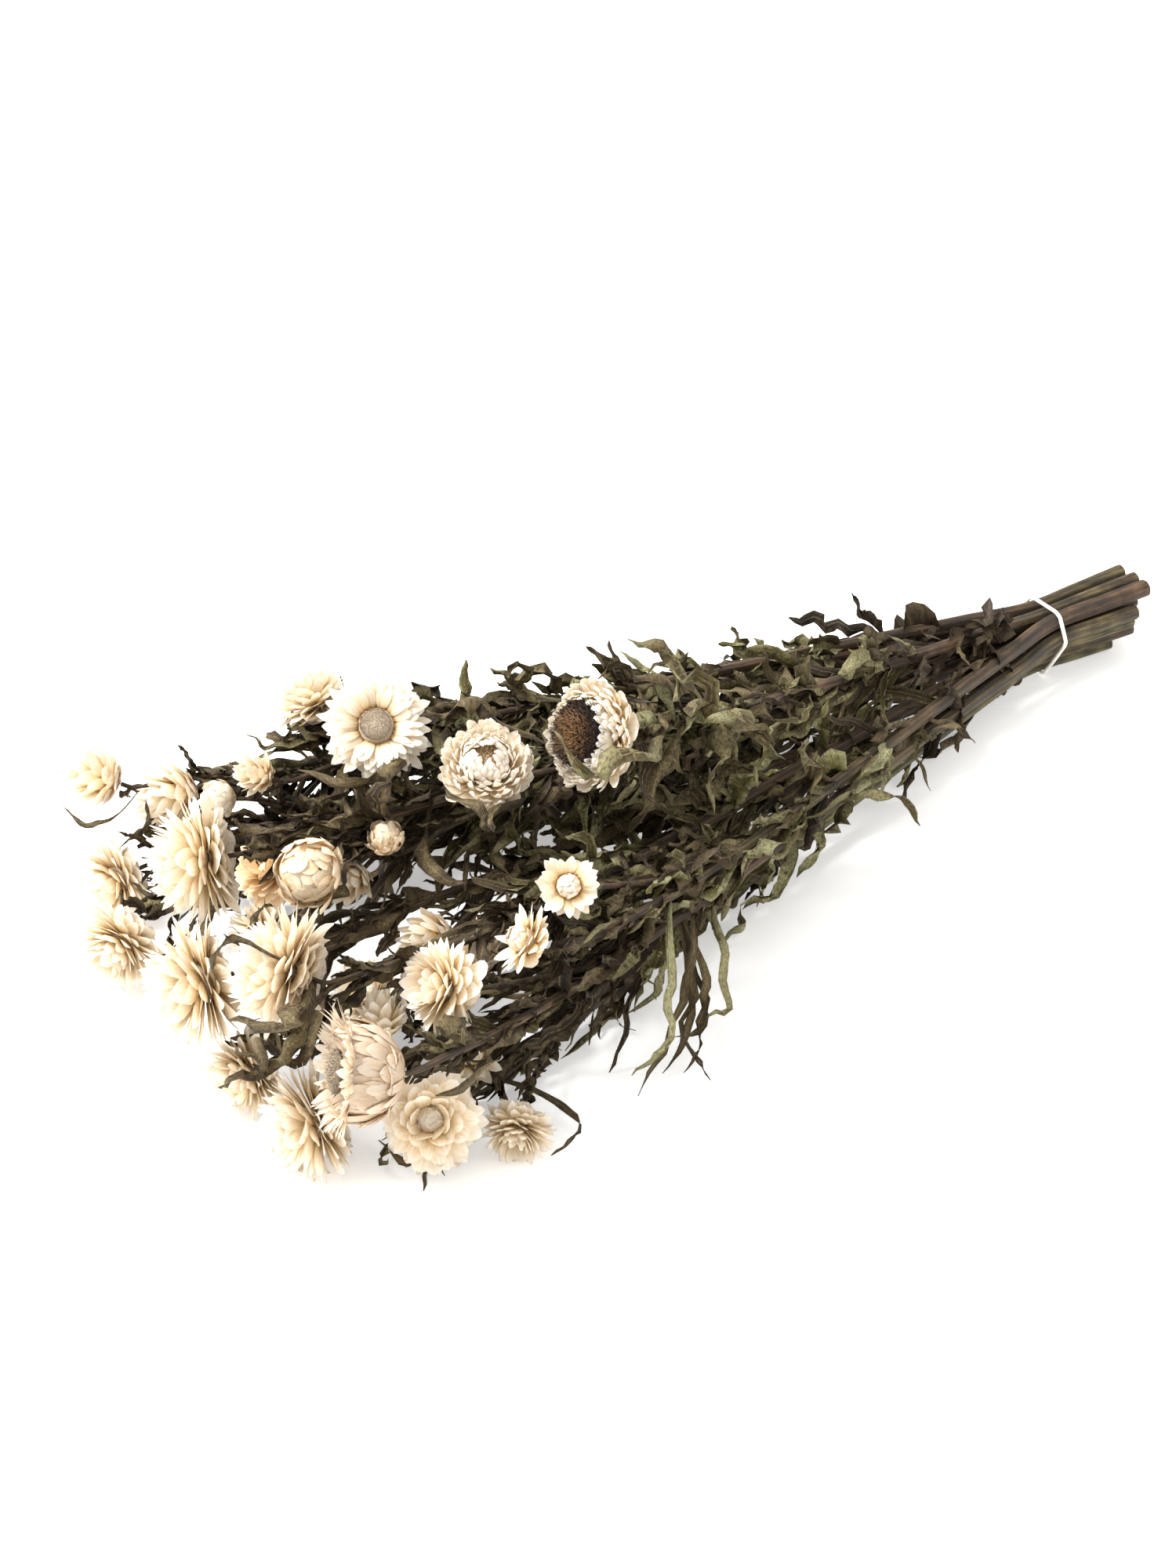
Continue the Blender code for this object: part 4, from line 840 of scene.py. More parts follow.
# %% Forms carried along a path, or turned on an axis
def swept(centres, e1, e2, girths, corners, shape=1.0, **values):
    """A form carried along a path. Its point at turn a and station j is centre + girth shape (cos a e1 +
    sin a e2), and it closes in a point at its first and last station. Values are one number, or one for
    each station and corner."""
    stations = len(centres)
    a = np.arange(corners) * 2 * math.pi / corners
    ring = swung(e1[:, None], e2[:, None], a)
    reach = np.broadcast_to(girths[:, None] * shape, (stations, corners))
    walls = (centres[:, None, :] + reach[..., None] * ring)[1:-1]
    j, i = np.meshgrid(np.arange(stations - 3), np.arange(corners), indexing="ij")
    low, right = j * corners + i, j * corners + (i + 1) % corners
    quads = np.stack([low, right, right + corners, low + corners], axis=-1).reshape(-1, 4)
    i, n = np.arange(corners), (stations - 2) * corners + 2
    after, last = (i + 1) % corners, (stations - 3) * corners
    start_fan = np.column_stack([after, i, np.full(corners, n - 2)])
    end_fan = np.column_stack([last + i, last + after, np.full(corners, n - 1)])
    u = np.broadcast_to(1 - np.abs(1 - a / math.pi), (stations - 2, corners))  # there and back: no seam
    v = np.broadcast_to(np.linspace(0, 1, stations)[1:-1, None], (stations - 2, corners))
    spread = {}
    for key, value in values.items():
        value = np.broadcast_to(value, (stations, corners))
        spread[key] = np.concatenate([value[1:-1].ravel(), [value[0, 0], value[-1, 0]]]).astype(float)
    return dict(
        points=np.vstack([walls.reshape(-1, 3), centres[:1], centres[-1:]]),
        faces=[quads, start_fan, end_fan],
        uv=np.vstack([np.stack([u, v], axis=-1).reshape(-1, 2), [[0.5, 0.0], [0.5, 1.0]]]),
        values=spread,
    )


def turned(middle, axis, heights, girths, corners, **values):
    """A form turned on an axis, such as a heart or a dome: the path is the axis."""
    e1, e2 = across(axis)
    sides = np.ones((len(heights), 1))
    return swept(middle + heights[:, None] * axis, sides * e1, sides * e2, girths, corners, **values)


def ball_profile(low, high, girth, stations=9):
    """Heights and girths of an egg: half an ellipse of height low below the middle, and high above it."""
    a = np.linspace(-math.pi / 2, math.pi / 2, stations)
    return np.where(a < 0, low, high) * np.sin(a), girth * np.cos(a)


print("the profile of an egg:", np.round(ball_profile(2.0, 3.0, 1.0, 5), 1).tolist())

# %% [markdown]
# ## Materials
#
# Everything here is dead plant stuff, and it differs by how much light it lets through and how smooth its
# skin is. Each material is a Principled shader, with a Translucent shader mixed in where the blade is
# thin. The patterns of blades and stems follow the map of the piece, so they run along each of them.

# %% Colours and nodes
def linear(code):
    """The linear colour of an sRGB hex code, such as c9a06a."""
    share = np.array([int(code[i : i + 2], 16) / 255 for i in (0, 2, 4)])
    value = np.where(share <= 0.04045, share / 12.92, ((share + 0.055) / 1.055) ** 2.4)
    return (*value.tolist(), 1.0)


def add(tree, kind, inputs=None, stops=None, **settings):
    """Adds a node with its settings and links. Each input is a number, a hex colour, one output of a node,
    or a node whose first output in use is taken. Stops are the (place, hex colour) pairs of a ramp."""
    made = tree.nodes.new(kind)
    for key, value in settings.items():
        setattr(made, key, value)
    for key, value in (inputs or {}).items():
        if isinstance(value, bpy.types.Node):
            value = next(output for output in value.outputs if output.enabled)
        if isinstance(value, bpy.types.NodeSocket):
            tree.links.new(value, made.inputs[key])
        else:
            made.inputs[key].default_value = linear(value) if isinstance(value, str) else value
    for i, (place, code) in enumerate(stops or ()):
        stop = made.color_ramp.elements[i] if i < 2 else made.color_ramp.elements.new(place)
        stop.position = place
        stop.color = linear(code)
    return made


def new_material(name):
    made = bpy.data.materials.new(name)
    made.use_nodes = True
    made.node_tree.nodes.clear()
    return made, made.node_tree


print("c9a06a is", [round(value, 3) for value in linear("c9a06a")])

# %% The map of a blade, and the skin of a thin one
def blade_map(tree, wide, long):
    """A place for a pattern: wide across a blade, long along it, and moved on for each blade so that no two
    share a pattern. The shares across and along come with it."""
    uv = add(tree, "ShaderNodeUVMap")
    parts = add(tree, "ShaderNodeSeparateXYZ", {0: uv})
    across_it, along_it = parts.outputs[0], parts.outputs[1]
    seed = add(tree, "ShaderNodeAttribute", attribute_name="tint").outputs["Fac"]
    x = add(tree, "ShaderNodeMath", {0: across_it, 1: wide}, operation="MULTIPLY")
    y = add(tree, "ShaderNodeMath", {0: along_it, 1: long}, operation="MULTIPLY")
    z = add(tree, "ShaderNodeMath", {0: seed, 1: 97.0}, operation="MULTIPLY")
    return add(tree, "ShaderNodeCombineXYZ", {0: x, 1: y, 2: z}), across_it, along_it


def thin_skin(tree, colour, roughness, height, depth_mm, through):
    """A thin blade's surface: a Principled skin, with some of the light let through from behind."""
    bump = add(tree, "ShaderNodeBump", {"Height": height, "Distance": depth_mm * MM, "Strength": 1.0})
    finish = {"Roughness": roughness, "Specular IOR Level": 0.35, "Normal": bump}
    skin = add(tree, "ShaderNodeBsdfPrincipled", {"Base Color": colour, **finish})
    back = add(tree, "ShaderNodeBsdfTranslucent", {"Color": colour, "Normal": bump})
    both = add(tree, "ShaderNodeMixShader", {0: through, 1: skin, 2: back})
    add(tree, "ShaderNodeOutputMaterial", {"Surface": both})


TINTED = {"data_type": "RGBA", "blend_type": "MULTIPLY"}
LAID_OVER = {"data_type": "RGBA", "blend_type": "MIX"}
COARSE, FINELY = {"Scale": 1.0, "Detail": 3.0}, {"Scale": 1.0, "Detail": 4.0}  # two sorts of noise
print("two ways to join colours:", TINTED["blend_type"], "and", LAID_OVER["blend_type"])

# %% [markdown]
# ### Dried bract
#
# A scale of dead, air-filled cells: papery, silky along its fibres and a little see-through. It is amber
# where it leaves the head, cream along its middle and nearly white at its point, and it browns with age.
# A ramp along the map and noise stretched along it give this to thousands of bracts, without an image.

# %% Dried bract
BRACT_WIDE, BRACT_LONG = 6.0, 20.0  # millimetres
FIBRE = 2.0  # fibres a millimetre: the real ones are finer, and these are as fine as the render shows
BRACT_THROUGH = 0.5  # the share of light that it lets through


def bract_material():
    made, tree = new_material("dried_papery_bract")
    place, _, v = blade_map(tree, BRACT_WIDE * FIBRE, BRACT_LONG * 0.12)
    fibres = add(tree, "ShaderNodeTexNoise", {"Vector": place, **COARSE, "Roughness": 0.6})
    place, _, _ = blade_map(tree, BRACT_WIDE * 0.4, BRACT_LONG * 0.2)
    patches = add(tree, "ShaderNodeTexNoise", {"Vector": place, **COARSE, "Detail": 2.0})
    uneven = add(tree, "ShaderNodeMath", {0: patches, 1: 0.5, 2: -0.25}, operation="MULTIPLY_ADD")
    along = add(tree, "ShaderNodeMath", {0: v, 1: uneven}, operation="ADD", use_clamp=True)
    stops = [(0.0, "d2a262"), (0.07, "efd9ac"), (0.24, "f9edd0"), (0.55, "fdf5e6"), (1.0, "fffefa")]
    young = add(tree, "ShaderNodeValToRGB", {0: along}, stops)
    blush, age, seed = (
        add(tree, "ShaderNodeAttribute", attribute_name=key).outputs["Fac"]
        for key in ("blush", "age", "tint")
    )
    blushed = add(tree, "ShaderNodeMix", {0: blush, 6: young, 7: "fae8c2"}, **TINTED)
    old = add(tree, "ShaderNodeValToRGB", {0: along}, [(0.0, "8d6038"), (0.5, "c8a67c"), (1.0, "e2d0b4")])
    aged = add(tree, "ShaderNodeMix", {0: age, 6: blushed, 7: old}, **LAID_OVER)
    at_tip = add(tree, "ShaderNodeMath", {0: along, 1: 0.95}, operation="GREATER_THAN")
    chosen = add(tree, "ShaderNodeMath", {0: seed, 1: 0.65}, operation="GREATER_THAN")
    singed = add(tree, "ShaderNodeMath", {0: at_tip, 1: chosen}, operation="MULTIPLY")
    singed = add(tree, "ShaderNodeMath", {0: singed, 1: 0.4}, operation="MULTIPLY")
    browned = add(tree, "ShaderNodeMix", {0: singed, 6: aged, 7: "cb9a66"}, **LAID_OVER)
    streaks = add(tree, "ShaderNodeValToRGB", {0: fibres}, [(0.34, "eddfc4"), (0.54, "ffffff")])
    colour = add(tree, "ShaderNodeMix", {0: 0.5, 6: browned, 7: streaks}, **TINTED)
    thin_skin(tree, colour, 0.5, fibres, 0.22, BRACT_THROUGH)
    return made


bract = bract_material()
print("made", bract.name)

# %% [markdown]
# ### Dried leaf
#
# A strawflower leaf dries twisted: its upper face goes blackish brown and its underside stays sage green,
# with a paler midrib and crinkled skin. It is dull, and lets little light through. Two materials could
# share a leaf, but each blade knows its upper face, so one can mix both.

# %% Dried leaf
LEAF_WIDE, LEAF_LONG = 7.0, 40.0  # millimetres
LEAF_THROUGH = 0.1
LEAF_TOP = ((0.2, "1d140b"), (0.42, "3c2d18"), (0.6, "554a25"), (0.85, "75703b"))
LEAF_UNDER = ((0.2, "453626"), (0.42, "776847"), (0.6, "98936a"), (0.85, "b9b98e"))


def leaf_material():
    made, tree = new_material("dried_twisted_leaf")
    place, u, _ = blade_map(tree, LEAF_WIDE * 0.2, LEAF_LONG * 0.15)
    patches = add(tree, "ShaderNodeTexNoise", {"Vector": place, **COARSE})
    place, _, _ = blade_map(tree, LEAF_WIDE * 1.1, LEAF_LONG * 1.1)
    crinkles = add(tree, "ShaderNodeTexNoise", {"Vector": place, **FINELY, "Roughness": 0.65})
    green, upper = (
        add(tree, "ShaderNodeAttribute", attribute_name=key).outputs["Fac"]
        for key in ("green", "upper")
    )
    own_hue = add(tree, "ShaderNodeMath", {0: green, 1: 0.55}, operation="MULTIPLY")
    hue = add(tree, "ShaderNodeMath", {0: patches, 1: 0.45, 2: own_hue}, operation="MULTIPLY_ADD")
    top, under = (add(tree, "ShaderNodeValToRGB", {0: hue}, stops) for stops in (LEAF_TOP, LEAF_UNDER))
    skin = add(tree, "ShaderNodeMix", {0: upper, 6: under, 7: top}, **LAID_OVER)
    aside = add(tree, "ShaderNodeMath", {0: u, 1: 0.5}, operation="SUBTRACT")
    off = add(tree, "ShaderNodeMath", {0: aside}, operation="ABSOLUTE")
    rib = add(tree, "ShaderNodeMath", {0: off, 1: -7.0, 2: 0.5}, operation="MULTIPLY_ADD", use_clamp=True)
    veined = add(tree, "ShaderNodeMix", {0: rib, 6: skin, 7: "94875c"}, **LAID_OVER)
    specks = add(tree, "ShaderNodeValToRGB", {0: crinkles}, [(0.36, "857763"), (0.6, "ffffff")])
    colour = add(tree, "ShaderNodeMix", {0: 0.8, 6: veined, 7: specks}, **TINTED)
    thin_skin(tree, colour, 0.7, crinkles, 0.9, LEAF_THROUGH)
    return made


leaf_skin = leaf_material()
print("made", leaf_skin.name)

# %% [markdown]
# ### Dry ribbed stem
#
# A woody stalk with fine ribs, straw brown or olive, and with pale spongy pith where it is cut. The ribs
# are in the mesh, and the colour is painted darker in the grooves and lighter on the ridges, as painted
# shade. Stretched noise adds the finer streaks, which are about a millimetre wide and two or three
# centimetres long.

# %% Dry ribbed stem
STEM_ROUND, STEM_LONG = 22.0, 450.0  # millimetres round and along a main stem
STEM_BROWN = ((0.4, "170f08"), (0.52, "392817"), (0.66, "6a4f32"))
STEM_OLIVE = ((0.4, "1d190c"), (0.52, "433e21"), (0.66, "757044"))


def stem_material():
    made, tree = new_material("dry_ribbed_stem")
    place, _, _ = blade_map(tree, STEM_ROUND * 0.8, STEM_LONG * 0.045)
    streaks = add(tree, "ShaderNodeTexNoise", {"Vector": place, **FINELY, "Roughness": 0.7})
    place, _, _ = blade_map(tree, STEM_ROUND * 0.09, STEM_LONG * 0.07)
    patches = add(tree, "ShaderNodeTexNoise", {"Vector": place, **COARSE})
    ridge, green, pith = (
        add(tree, "ShaderNodeAttribute", attribute_name=key).outputs["Fac"]
        for key in ("ridge", "green", "pith")
    )
    # painted shade: the ridges are lifted up the ramp, so the grooves keep a darker colour
    painted_rib_lift = add(tree, "ShaderNodeMath", {0: ridge, 1: 0.1}, operation="MULTIPLY")
    spread = add(tree, "ShaderNodeMath", {0: patches, 1: 0.45, 2: painted_rib_lift}, operation="MULTIPLY_ADD")
    light = add(tree, "ShaderNodeMath", {0: streaks, 1: 0.5, 2: spread}, operation="MULTIPLY_ADD")
    ramps = (STEM_BROWN, STEM_OLIVE)
    brown, olive = (add(tree, "ShaderNodeValToRGB", {0: light}, stops) for stops in ramps)
    bark = add(tree, "ShaderNodeMix", {0: green, 6: brown, 7: olive}, **LAID_OVER)
    colour = add(tree, "ShaderNodeMix", {0: pith, 6: bark, 7: "b8a27a"}, **LAID_OVER)
    bump = add(tree, "ShaderNodeBump", {"Height": streaks, "Distance": 0.6 * MM})
    skin = add(tree, "ShaderNodeBsdfPrincipled", {"Base Color": colour, "Roughness": 0.65, "Normal": bump})
    add(tree, "ShaderNodeOutputMaterial", {"Surface": skin})
    return made


stem_skin = stem_material()
print("made", stem_skin.name)

# %% [markdown]
# ### Dry floret fuzz
#
# A disc is packed with hundreds of dry florets, dark brown below and golden or tan at their tips. Each
# floret is a form of its own, so its material only has to know how near a place is to the tip.

# %% Dry floret fuzz
GRAIN_A_METRE = 900.0  # specks a little over a millimetre apart
FLORET_TONES = (  # dark, pale and grey ones, each from its foot to its tip
    ((0.0, "140c08"), (0.45, "3c261a"), (1.0, "b08858")),
    ((0.0, "9c7c54"), (0.5, "ceb288"), (1.0, "efddb8")),
    ((0.0, "675b4c"), (0.45, "aea28e"), (1.0, "d4cab8")),
)


def floret_material():
    made, tree = new_material("dry_floret_fuzz")
    tip, is_pale, is_grey = (
        add(tree, "ShaderNodeAttribute", attribute_name=key).outputs["Fac"]
        for key in ("tip", "pale", "grey")
    )
    dark, pale, grey = (add(tree, "ShaderNodeValToRGB", {0: tip}, stops) for stops in FLORET_TONES)
    tone = add(tree, "ShaderNodeMix", {0: is_pale, 6: dark, 7: pale}, **LAID_OVER)
    tone = add(tree, "ShaderNodeMix", {0: is_grey, 6: tone, 7: grey}, **LAID_OVER)
    spot = add(tree, "ShaderNodeTexCoord").outputs["Object"]
    grain = add(tree, "ShaderNodeTexNoise", {"Vector": spot, "Scale": GRAIN_A_METRE})
    specks = add(tree, "ShaderNodeValToRGB", {0: grain}, [(0.3, "9a8a78"), (0.7, "ffffff")])
    colour = add(tree, "ShaderNodeMix", {0: 0.6, 6: tone, 7: specks}, **TINTED)
    skin = add(tree, "ShaderNodeBsdfPrincipled", {"Base Color": colour, "Roughness": 0.85})
    add(tree, "ShaderNodeOutputMaterial", {"Surface": skin})
    return made


floret_skin = floret_material()
print("made", floret_skin.name)

# %% [markdown]
# ### White rubber
#
# Natural rubber, cut from a moulded tube: matt, off-white, and a little uneven along its length. Noise
# with a grain of about three millimetres keeps it from looking like plastic.

# %% White rubber
def rubber_material():
    made, tree = new_material("white_natural_rubber")
    spot = add(tree, "ShaderNodeTexCoord").outputs["Object"]
    grain = add(tree, "ShaderNodeTexNoise", {"Vector": spot, "Scale": 350.0, "Detail": 3.0})
    colour = add(tree, "ShaderNodeValToRGB", {0: grain}, [(0.3, "e2dccd"), (0.7, "f8f5ee")])
    bump = add(tree, "ShaderNodeBump", {"Height": grain, "Distance": 0.15 * MM})
    skin = add(tree, "ShaderNodeBsdfPrincipled", {"Base Color": colour, "Roughness": 0.5, "Normal": bump})
    add(tree, "ShaderNodeOutputMaterial", {"Surface": skin})
    return made


rubber = rubber_material()
print("made", rubber.name)

# %% [markdown]
# ## The heads
#
# A strawflower's bracts grow in a spiral, each 137.5 degrees round from the last, which is why no two lie
# on top of each other. The fine bracts are laid in that spiral, from the outermost inwards. How far each
# opens, curls and reaches is read from the plain whorls, so a head leans away from its neighbours as its
# plain one does. Behind them stand short brown bracts, which hide where the stalk ends.

# %% How the bracts of each kind stand
GOLDEN_TURN = math.pi * (3 - math.sqrt(5))
# kind: number of bracts, half width as a share of the head's radius, how deep their trough is, how far
# their tips hook (degrees, inwards if negative), how much that varies, the outermost and innermost places
# that they fill, how pointed they are, and for the innermost ones their opening and curl in degrees and
# reach as a share of the radius
FINE = {
    "full": (130, 0.17, 0.1, 4, 12, (0, 0.82), 0.68, (12, 40, 0.5)),
    "open": (132, 0.112, 0.06, 2, 8, (0, 1), 0.6, (44, -30, 0.42)),
    "curled": (190, 0.13, 0.5, -95, 25, (0, 1), 0.1, (22, 76, 0.62)),
    "globe": (210, 0.115, 0.5, -80, 25, (0, 1), 0.1, (38, 50, 0.36)),
    "scaly": (80, 0.12, 0.2, 6, 10, (0.7, 1), 0.7, (64, -8, 0.85)),
    "bud": (14, 0.3, 0.3, -10, 12, (0, 0.2), 0.6, (20, 70, 0.95)),
    "star": (22, 0.18, 0.1, 2, 7, (0, 0.4), 1.0, (20, 50, 0.5)),
    "goblet": (34, 0.27, 0.3, 4, 10, (0, 1), 0.9, (14, 22, 0.9)),
}
# A head whose bracts are broader or fewer than its kind's: number, half width, innermost place
BROAD = {
    "head_22": (62, 0.23, 0.82), "head_12": (76, 0.24, 0.82), "head_03": (84, 0.22, 0.82),
    "head_25": (84, 0.23, 0.82), "head_30": (70, 0.25, 0.82),
}
# kind: the globe that scales clad, as shares of the radius (its size, and how far its middle lies before
# the heart's), then the number of scales, where the first and last stand (degrees from the back), and
# their reach and half width as shares of the radius; head_13 has finer ones than its kind
CLAD = {
    "full": (0.27, 0.1, 24, (40, 165), 0.36, 0.16),
    "scaly": (0.72, 0.1, 170, (10, 76), 0.62, 0.13),
    "bud": (0.74, 0.1, 38, (12, 168), 0.66, 0.36),
    "star": (0.32, 0.1, 26, (60, 168), 0.36, 0.17),
    "head_13": (0.78, 0.05, 64, (20, 170), 0.5, 0.29),
}
WHORL_PLACES = {3: (0, 0.33, 0.62, 1), 2: (0, 0.5, 1), 1: (0, 1)}  # of the plain whorls, and the innermost
FINE_STEPS = 24  # short straight steps in a bract's centreline
STATIONS = np.array([0, 4, 8, 14, 19, 22, 24])  # the ones that carry a section
BROAD_WIDTHS = np.array([0.42, 0.62, 0.84, 1.0, 0.9, 0.6, 0.1])  # shares of the full width there
POINTED_WIDTHS = np.array([0.55, 0.8, 0.96, 0.94, 0.6, 0.3, 0.03])
BRACT_THICK = 0.14  # millimetres
BRACT_SWEEP, BRACT_TWIST = 0.07, 11  # of its length to one side, and degrees about itself
AGE_SHAPE, AGE_SCALE = 0.4, 0.06  # of a gamma draw: most bracts are fresh, and a few have aged
BACK_COUNT = 36  # short bracts behind a head
BLUSH = {"head_12": 0.5, "head_13": 0.3, "head_15": 0.3}  # more like a peach
AGED = {"head_20": 0.42, "head_12": 0.05, "head_13": 0.06, "head_15": 0.1}  # greyer than the rest


def bract_lines(foot, axis, out, opening, curl, hook, reach):
    """Centrelines and upward directions of bracts. At share s of its length a bract stands at the angle
    opening - curl s + hook s^4 from the head's axis, in radians, and the line adds up short steps."""
    middle = (np.arange(FINE_STEPS) + 0.5) / FINE_STEPS
    angle = opening[:, None] - curl[:, None] * middle + hook[:, None] * middle**4
    steps = np.cumsum(swung(axis, out[:, None], angle), axis=1) * (reach / FINE_STEPS)[:, None, None]
    line = foot[:, None, :] + np.concatenate([np.zeros_like(steps[:, :1]), steps], axis=1)
    s = STATIONS / FINE_STEPS
    at = opening[:, None] - curl[:, None] * s + hook[:, None] * s**4
    return line[:, STATIONS], swung(-out[:, None], axis, at)


def read_whorls(name, turns, q):
    """The opening and curl in degrees and reach in millimetres of bracts at turns round a head, and at
    places q from its outermost 0 to its innermost 1: first round each plain whorl, then between whorls."""
    _, _, radius, kind = heart(name)
    rows = []
    for whorl in petals[name]:
        at = [petal["turn"] for petal in whorl]
        keys = ("opening", "curl", "reach")
        rows.append([np.interp(turns, at, [p[key] for p in whorl], period=2 * math.pi) for key in keys])
    opening, curl, reach = FINE[kind][7]
    rows.append([np.full(len(turns), value) for value in (opening, curl, reach * radius)])
    table, places = np.array(rows), np.array(WHORL_PLACES[len(rows) - 1])
    low = np.clip(np.searchsorted(places, q, side="right") - 1, 0, len(places) - 2)
    share = (q - places[low]) / (places[low + 1] - places[low])
    each = np.arange(len(turns))
    return (table[low, :, each] * (1 - share)[:, None] + table[low + 1, :, each] * share[:, None]).T


print("the spiral turns by", round(math.degrees(GOLDEN_TURN), 1), "degrees")

# %% Bracts as blades
def around(n, turns):
    """The ways out from a head's axis at turns round it, and the ways round it there."""
    e1, e2 = across(n)
    return swung(e1, e2, turns), swung(e2, -e1, turns)


def bract_blades(
    name, turns, foot, opening, curl, hook, reach, half, cup, draw, age, pointed, loose=1.0
):
    """Bracts as a mass: their lines, twisted a little about themselves and swept a little to one side.
    Their widths lie between a broad outline and a pointed one. Loose ones sway and twist the most."""
    _, n, _, _ = heart(name)
    out, tangent = around(n, turns)
    count, s = len(reach), STATIONS / FINE_STEPS
    line, up = bract_lines(foot, n, out, np.radians(opening), np.radians(curl), np.radians(hook), reach)
    sweep = draw.normal(0, BRACT_SWEEP * loose, count) * reach
    line = line + (sweep[:, None] * s**2)[..., None] * tangent[:, None]
    twist = np.radians(draw.normal(0, BRACT_TWIST * loose, count))[:, None] * (0.3 + s)
    tangent = tangent[:, None]
    side, up = swung(tangent, up, twist), swung(up, -tangent, twist)
    wavy = 1 + 0.12 * smooth_noise(draw, count, len(s))
    sharp = np.clip(draw.normal(pointed, 0.25, (count, 1)), 0, 1)
    halves = half[:, None] * (BROAD_WIDTHS * (1 - sharp) + POINTED_WIDTHS * sharp) * wavy
    cups = cup * (1.15 - 0.6 * s) * draw.uniform(0.2, 1.8, (count, 1))
    thick = np.full(halves.shape, BRACT_THICK) * np.clip(1.2 - s, 0.35, 1)
    shares = np.broadcast_to(s, halves.shape)
    tint = draw.random(count)
    blush = np.full(count, BLUSH.get(name, 0.0))
    age = np.clip(age + AGED.get(name, 0.0), 0, 1)
    return blade_mass(line, side, up, halves, cups, thick, shares, tint=tint, age=age, blush=blush)


print("a quarter round head_05 is", around(hearts[4][1], np.array([math.pi / 2]))[0].round(2).tolist())

# %% The long bracts
def spiral_bracts(name, draw):
    """The long bracts. Bract i of n stands at place q = first + (last - first) i / (n - 1), from the
    outermost 0 to the innermost 1, turned by i golden turns, and its foot climbs the heart with q."""
    middle, n, radius, kind = heart(name)
    _, _, core, tall, fills = KINDS[kind]
    count, half, cup, hooked, varied, (first, last), pointed, _ = FINE[kind]
    count, half, last = BROAD.get(name, (count, half, last))
    order = np.arange(count)
    q = first + (last - first) * order / (count - 1)
    turns = GOLDEN_TURN * order + HEAD_TURN * int(name[-2:]) + draw.normal(0, 0.06, count)
    out, _ = around(n, turns)
    opening, curl, reach = read_whorls(name, turns, q)
    if fills == "disc":
        height, girth = tall * (0.9 * q - 0.5), core * (0.95 - 0.15 * q)
    else:
        dome = np.radians(95 * q - 30)
        height, girth = tall * np.sin(dome), 0.95 * core * np.cos(dome)
    foot = middle + radius * (height[:, None] * n + girth[:, None] * out)
    opening = opening + draw.normal(0, 4, count) * (1 - 0.6 * q)
    hook = draw.normal(hooked, varied, count) * (1 - 0.6 * q)
    reach = reach * draw.normal(1, 0.06, count)
    halves = half * radius * (1 - 0.35 * q)
    age = draw.gamma(AGE_SHAPE, AGE_SCALE, count)
    return bract_blades(name, turns, foot, opening, curl, hook, reach, halves, cup, draw, age, pointed)


print("a full head has", FINE["full"][0], "long bracts")

# %% Scales that clad a globe
def clad_globe(name, draw):
    """Scales that clad a globe from its back towards its front. A scale whose foot is at f degrees from the
    back starts along the skin, at 90 - f degrees from the axis and a little lifted, and curls with it."""
    middle, n, radius, kind = heart(name)
    size, ahead, count, (first, last), reach, half = CLAD.get(name, CLAD[kind])
    order = np.arange(count)
    level = np.linspace(math.cos(math.radians(first)), math.cos(math.radians(last)), count)
    level = np.clip(level + draw.normal(0, 0.03, count), -0.99, 0.99)
    turns = GOLDEN_TURN * order + 0.4 + draw.normal(0, 0.07, count)
    out, _ = around(n, turns)
    skin = np.sqrt(1 - level**2)[:, None] * out - level[:, None] * n
    foot = middle + radius * (ahead * n + size * skin)
    opening = 90 - np.degrees(np.arccos(level)) + draw.normal(6, 3, count)
    curl = math.degrees(reach / size) * draw.normal(1.05, 0.1, count)
    hook = draw.normal(3, 6, count)
    reaches = reach * radius * draw.normal(1, 0.1, count)
    halves = half * radius * draw.normal(1, 0.1, count)
    age = draw.gamma(AGE_SHAPE, AGE_SCALE, count)
    return bract_blades(name, turns, foot, opening, curl, hook, reaches, halves, 0.14, draw, age, 0.4, 0.5)


print("head_13 is clad in", CLAD["head_13"][2], "scales")

# %% The short bracts behind
def back_bracts(name, draw):
    """The short bracts behind a head. They stand nearest its stalk, lie against the outermost long ones,
    and grow longer from the stalk outwards."""
    middle, n, radius, kind = heart(name)
    _, _, core, tall, _ = KINDS[kind]
    count, order = BACK_COUNT, np.arange(BACK_COUNT)
    q = order / (count - 1)
    turns = GOLDEN_TURN * order + 0.7
    out, _ = around(n, turns)
    dome = np.radians(-72 + 40 * q)
    foot = middle + radius * ((tall * np.sin(dome))[:, None] * n + (core * np.cos(dome))[:, None] * out)
    opening, curl, reach = read_whorls(name, turns, np.zeros(count))
    opening = np.minimum(opening + 14 - 9 * q, 128) + draw.normal(0, 4, count)
    reach = np.maximum(reach, 0.4 * radius) * (0.3 + 0.52 * q) * draw.normal(1, 0.08, count)
    half = radius * (0.18 + 0.06 * q)
    age = np.clip(draw.normal(0.22, 0.12, count) * (1 - q), 0, 1)
    hook = draw.normal(2, 9, count)
    return bract_blades(name, turns, foot, opening, curl, hook, reach, half, 0.25, draw, age, pointed=0.1)


print(BACK_COUNT, "short bracts stand behind each head")

# %% Each head
def head_bracts(name):
    """All bracts of a head and the heart that they grow from."""
    middle, n, radius, kind = heart(name)
    draw = np.random.default_rng(100 + int(name[-2:]))
    _, _, core, tall, _ = KINDS[kind]
    masses = [spiral_bracts(name, draw), back_bracts(name, draw)]
    if kind in CLAD:
        masses.append(clad_globe(name, draw))
    heights, girths = ball_profile(0.98 * tall * radius, 0.95 * tall * radius, 0.9 * core * radius)
    masses.append(turned(middle, n, heights, girths, 20, tint=0.3, age=0.5, blush=0.0, upper=1.0))
    return joined(masses)


for name in HEADS:
    total_triangles += make_piece(name + "_bracts", head_bracts(name), bract, "petal", name)

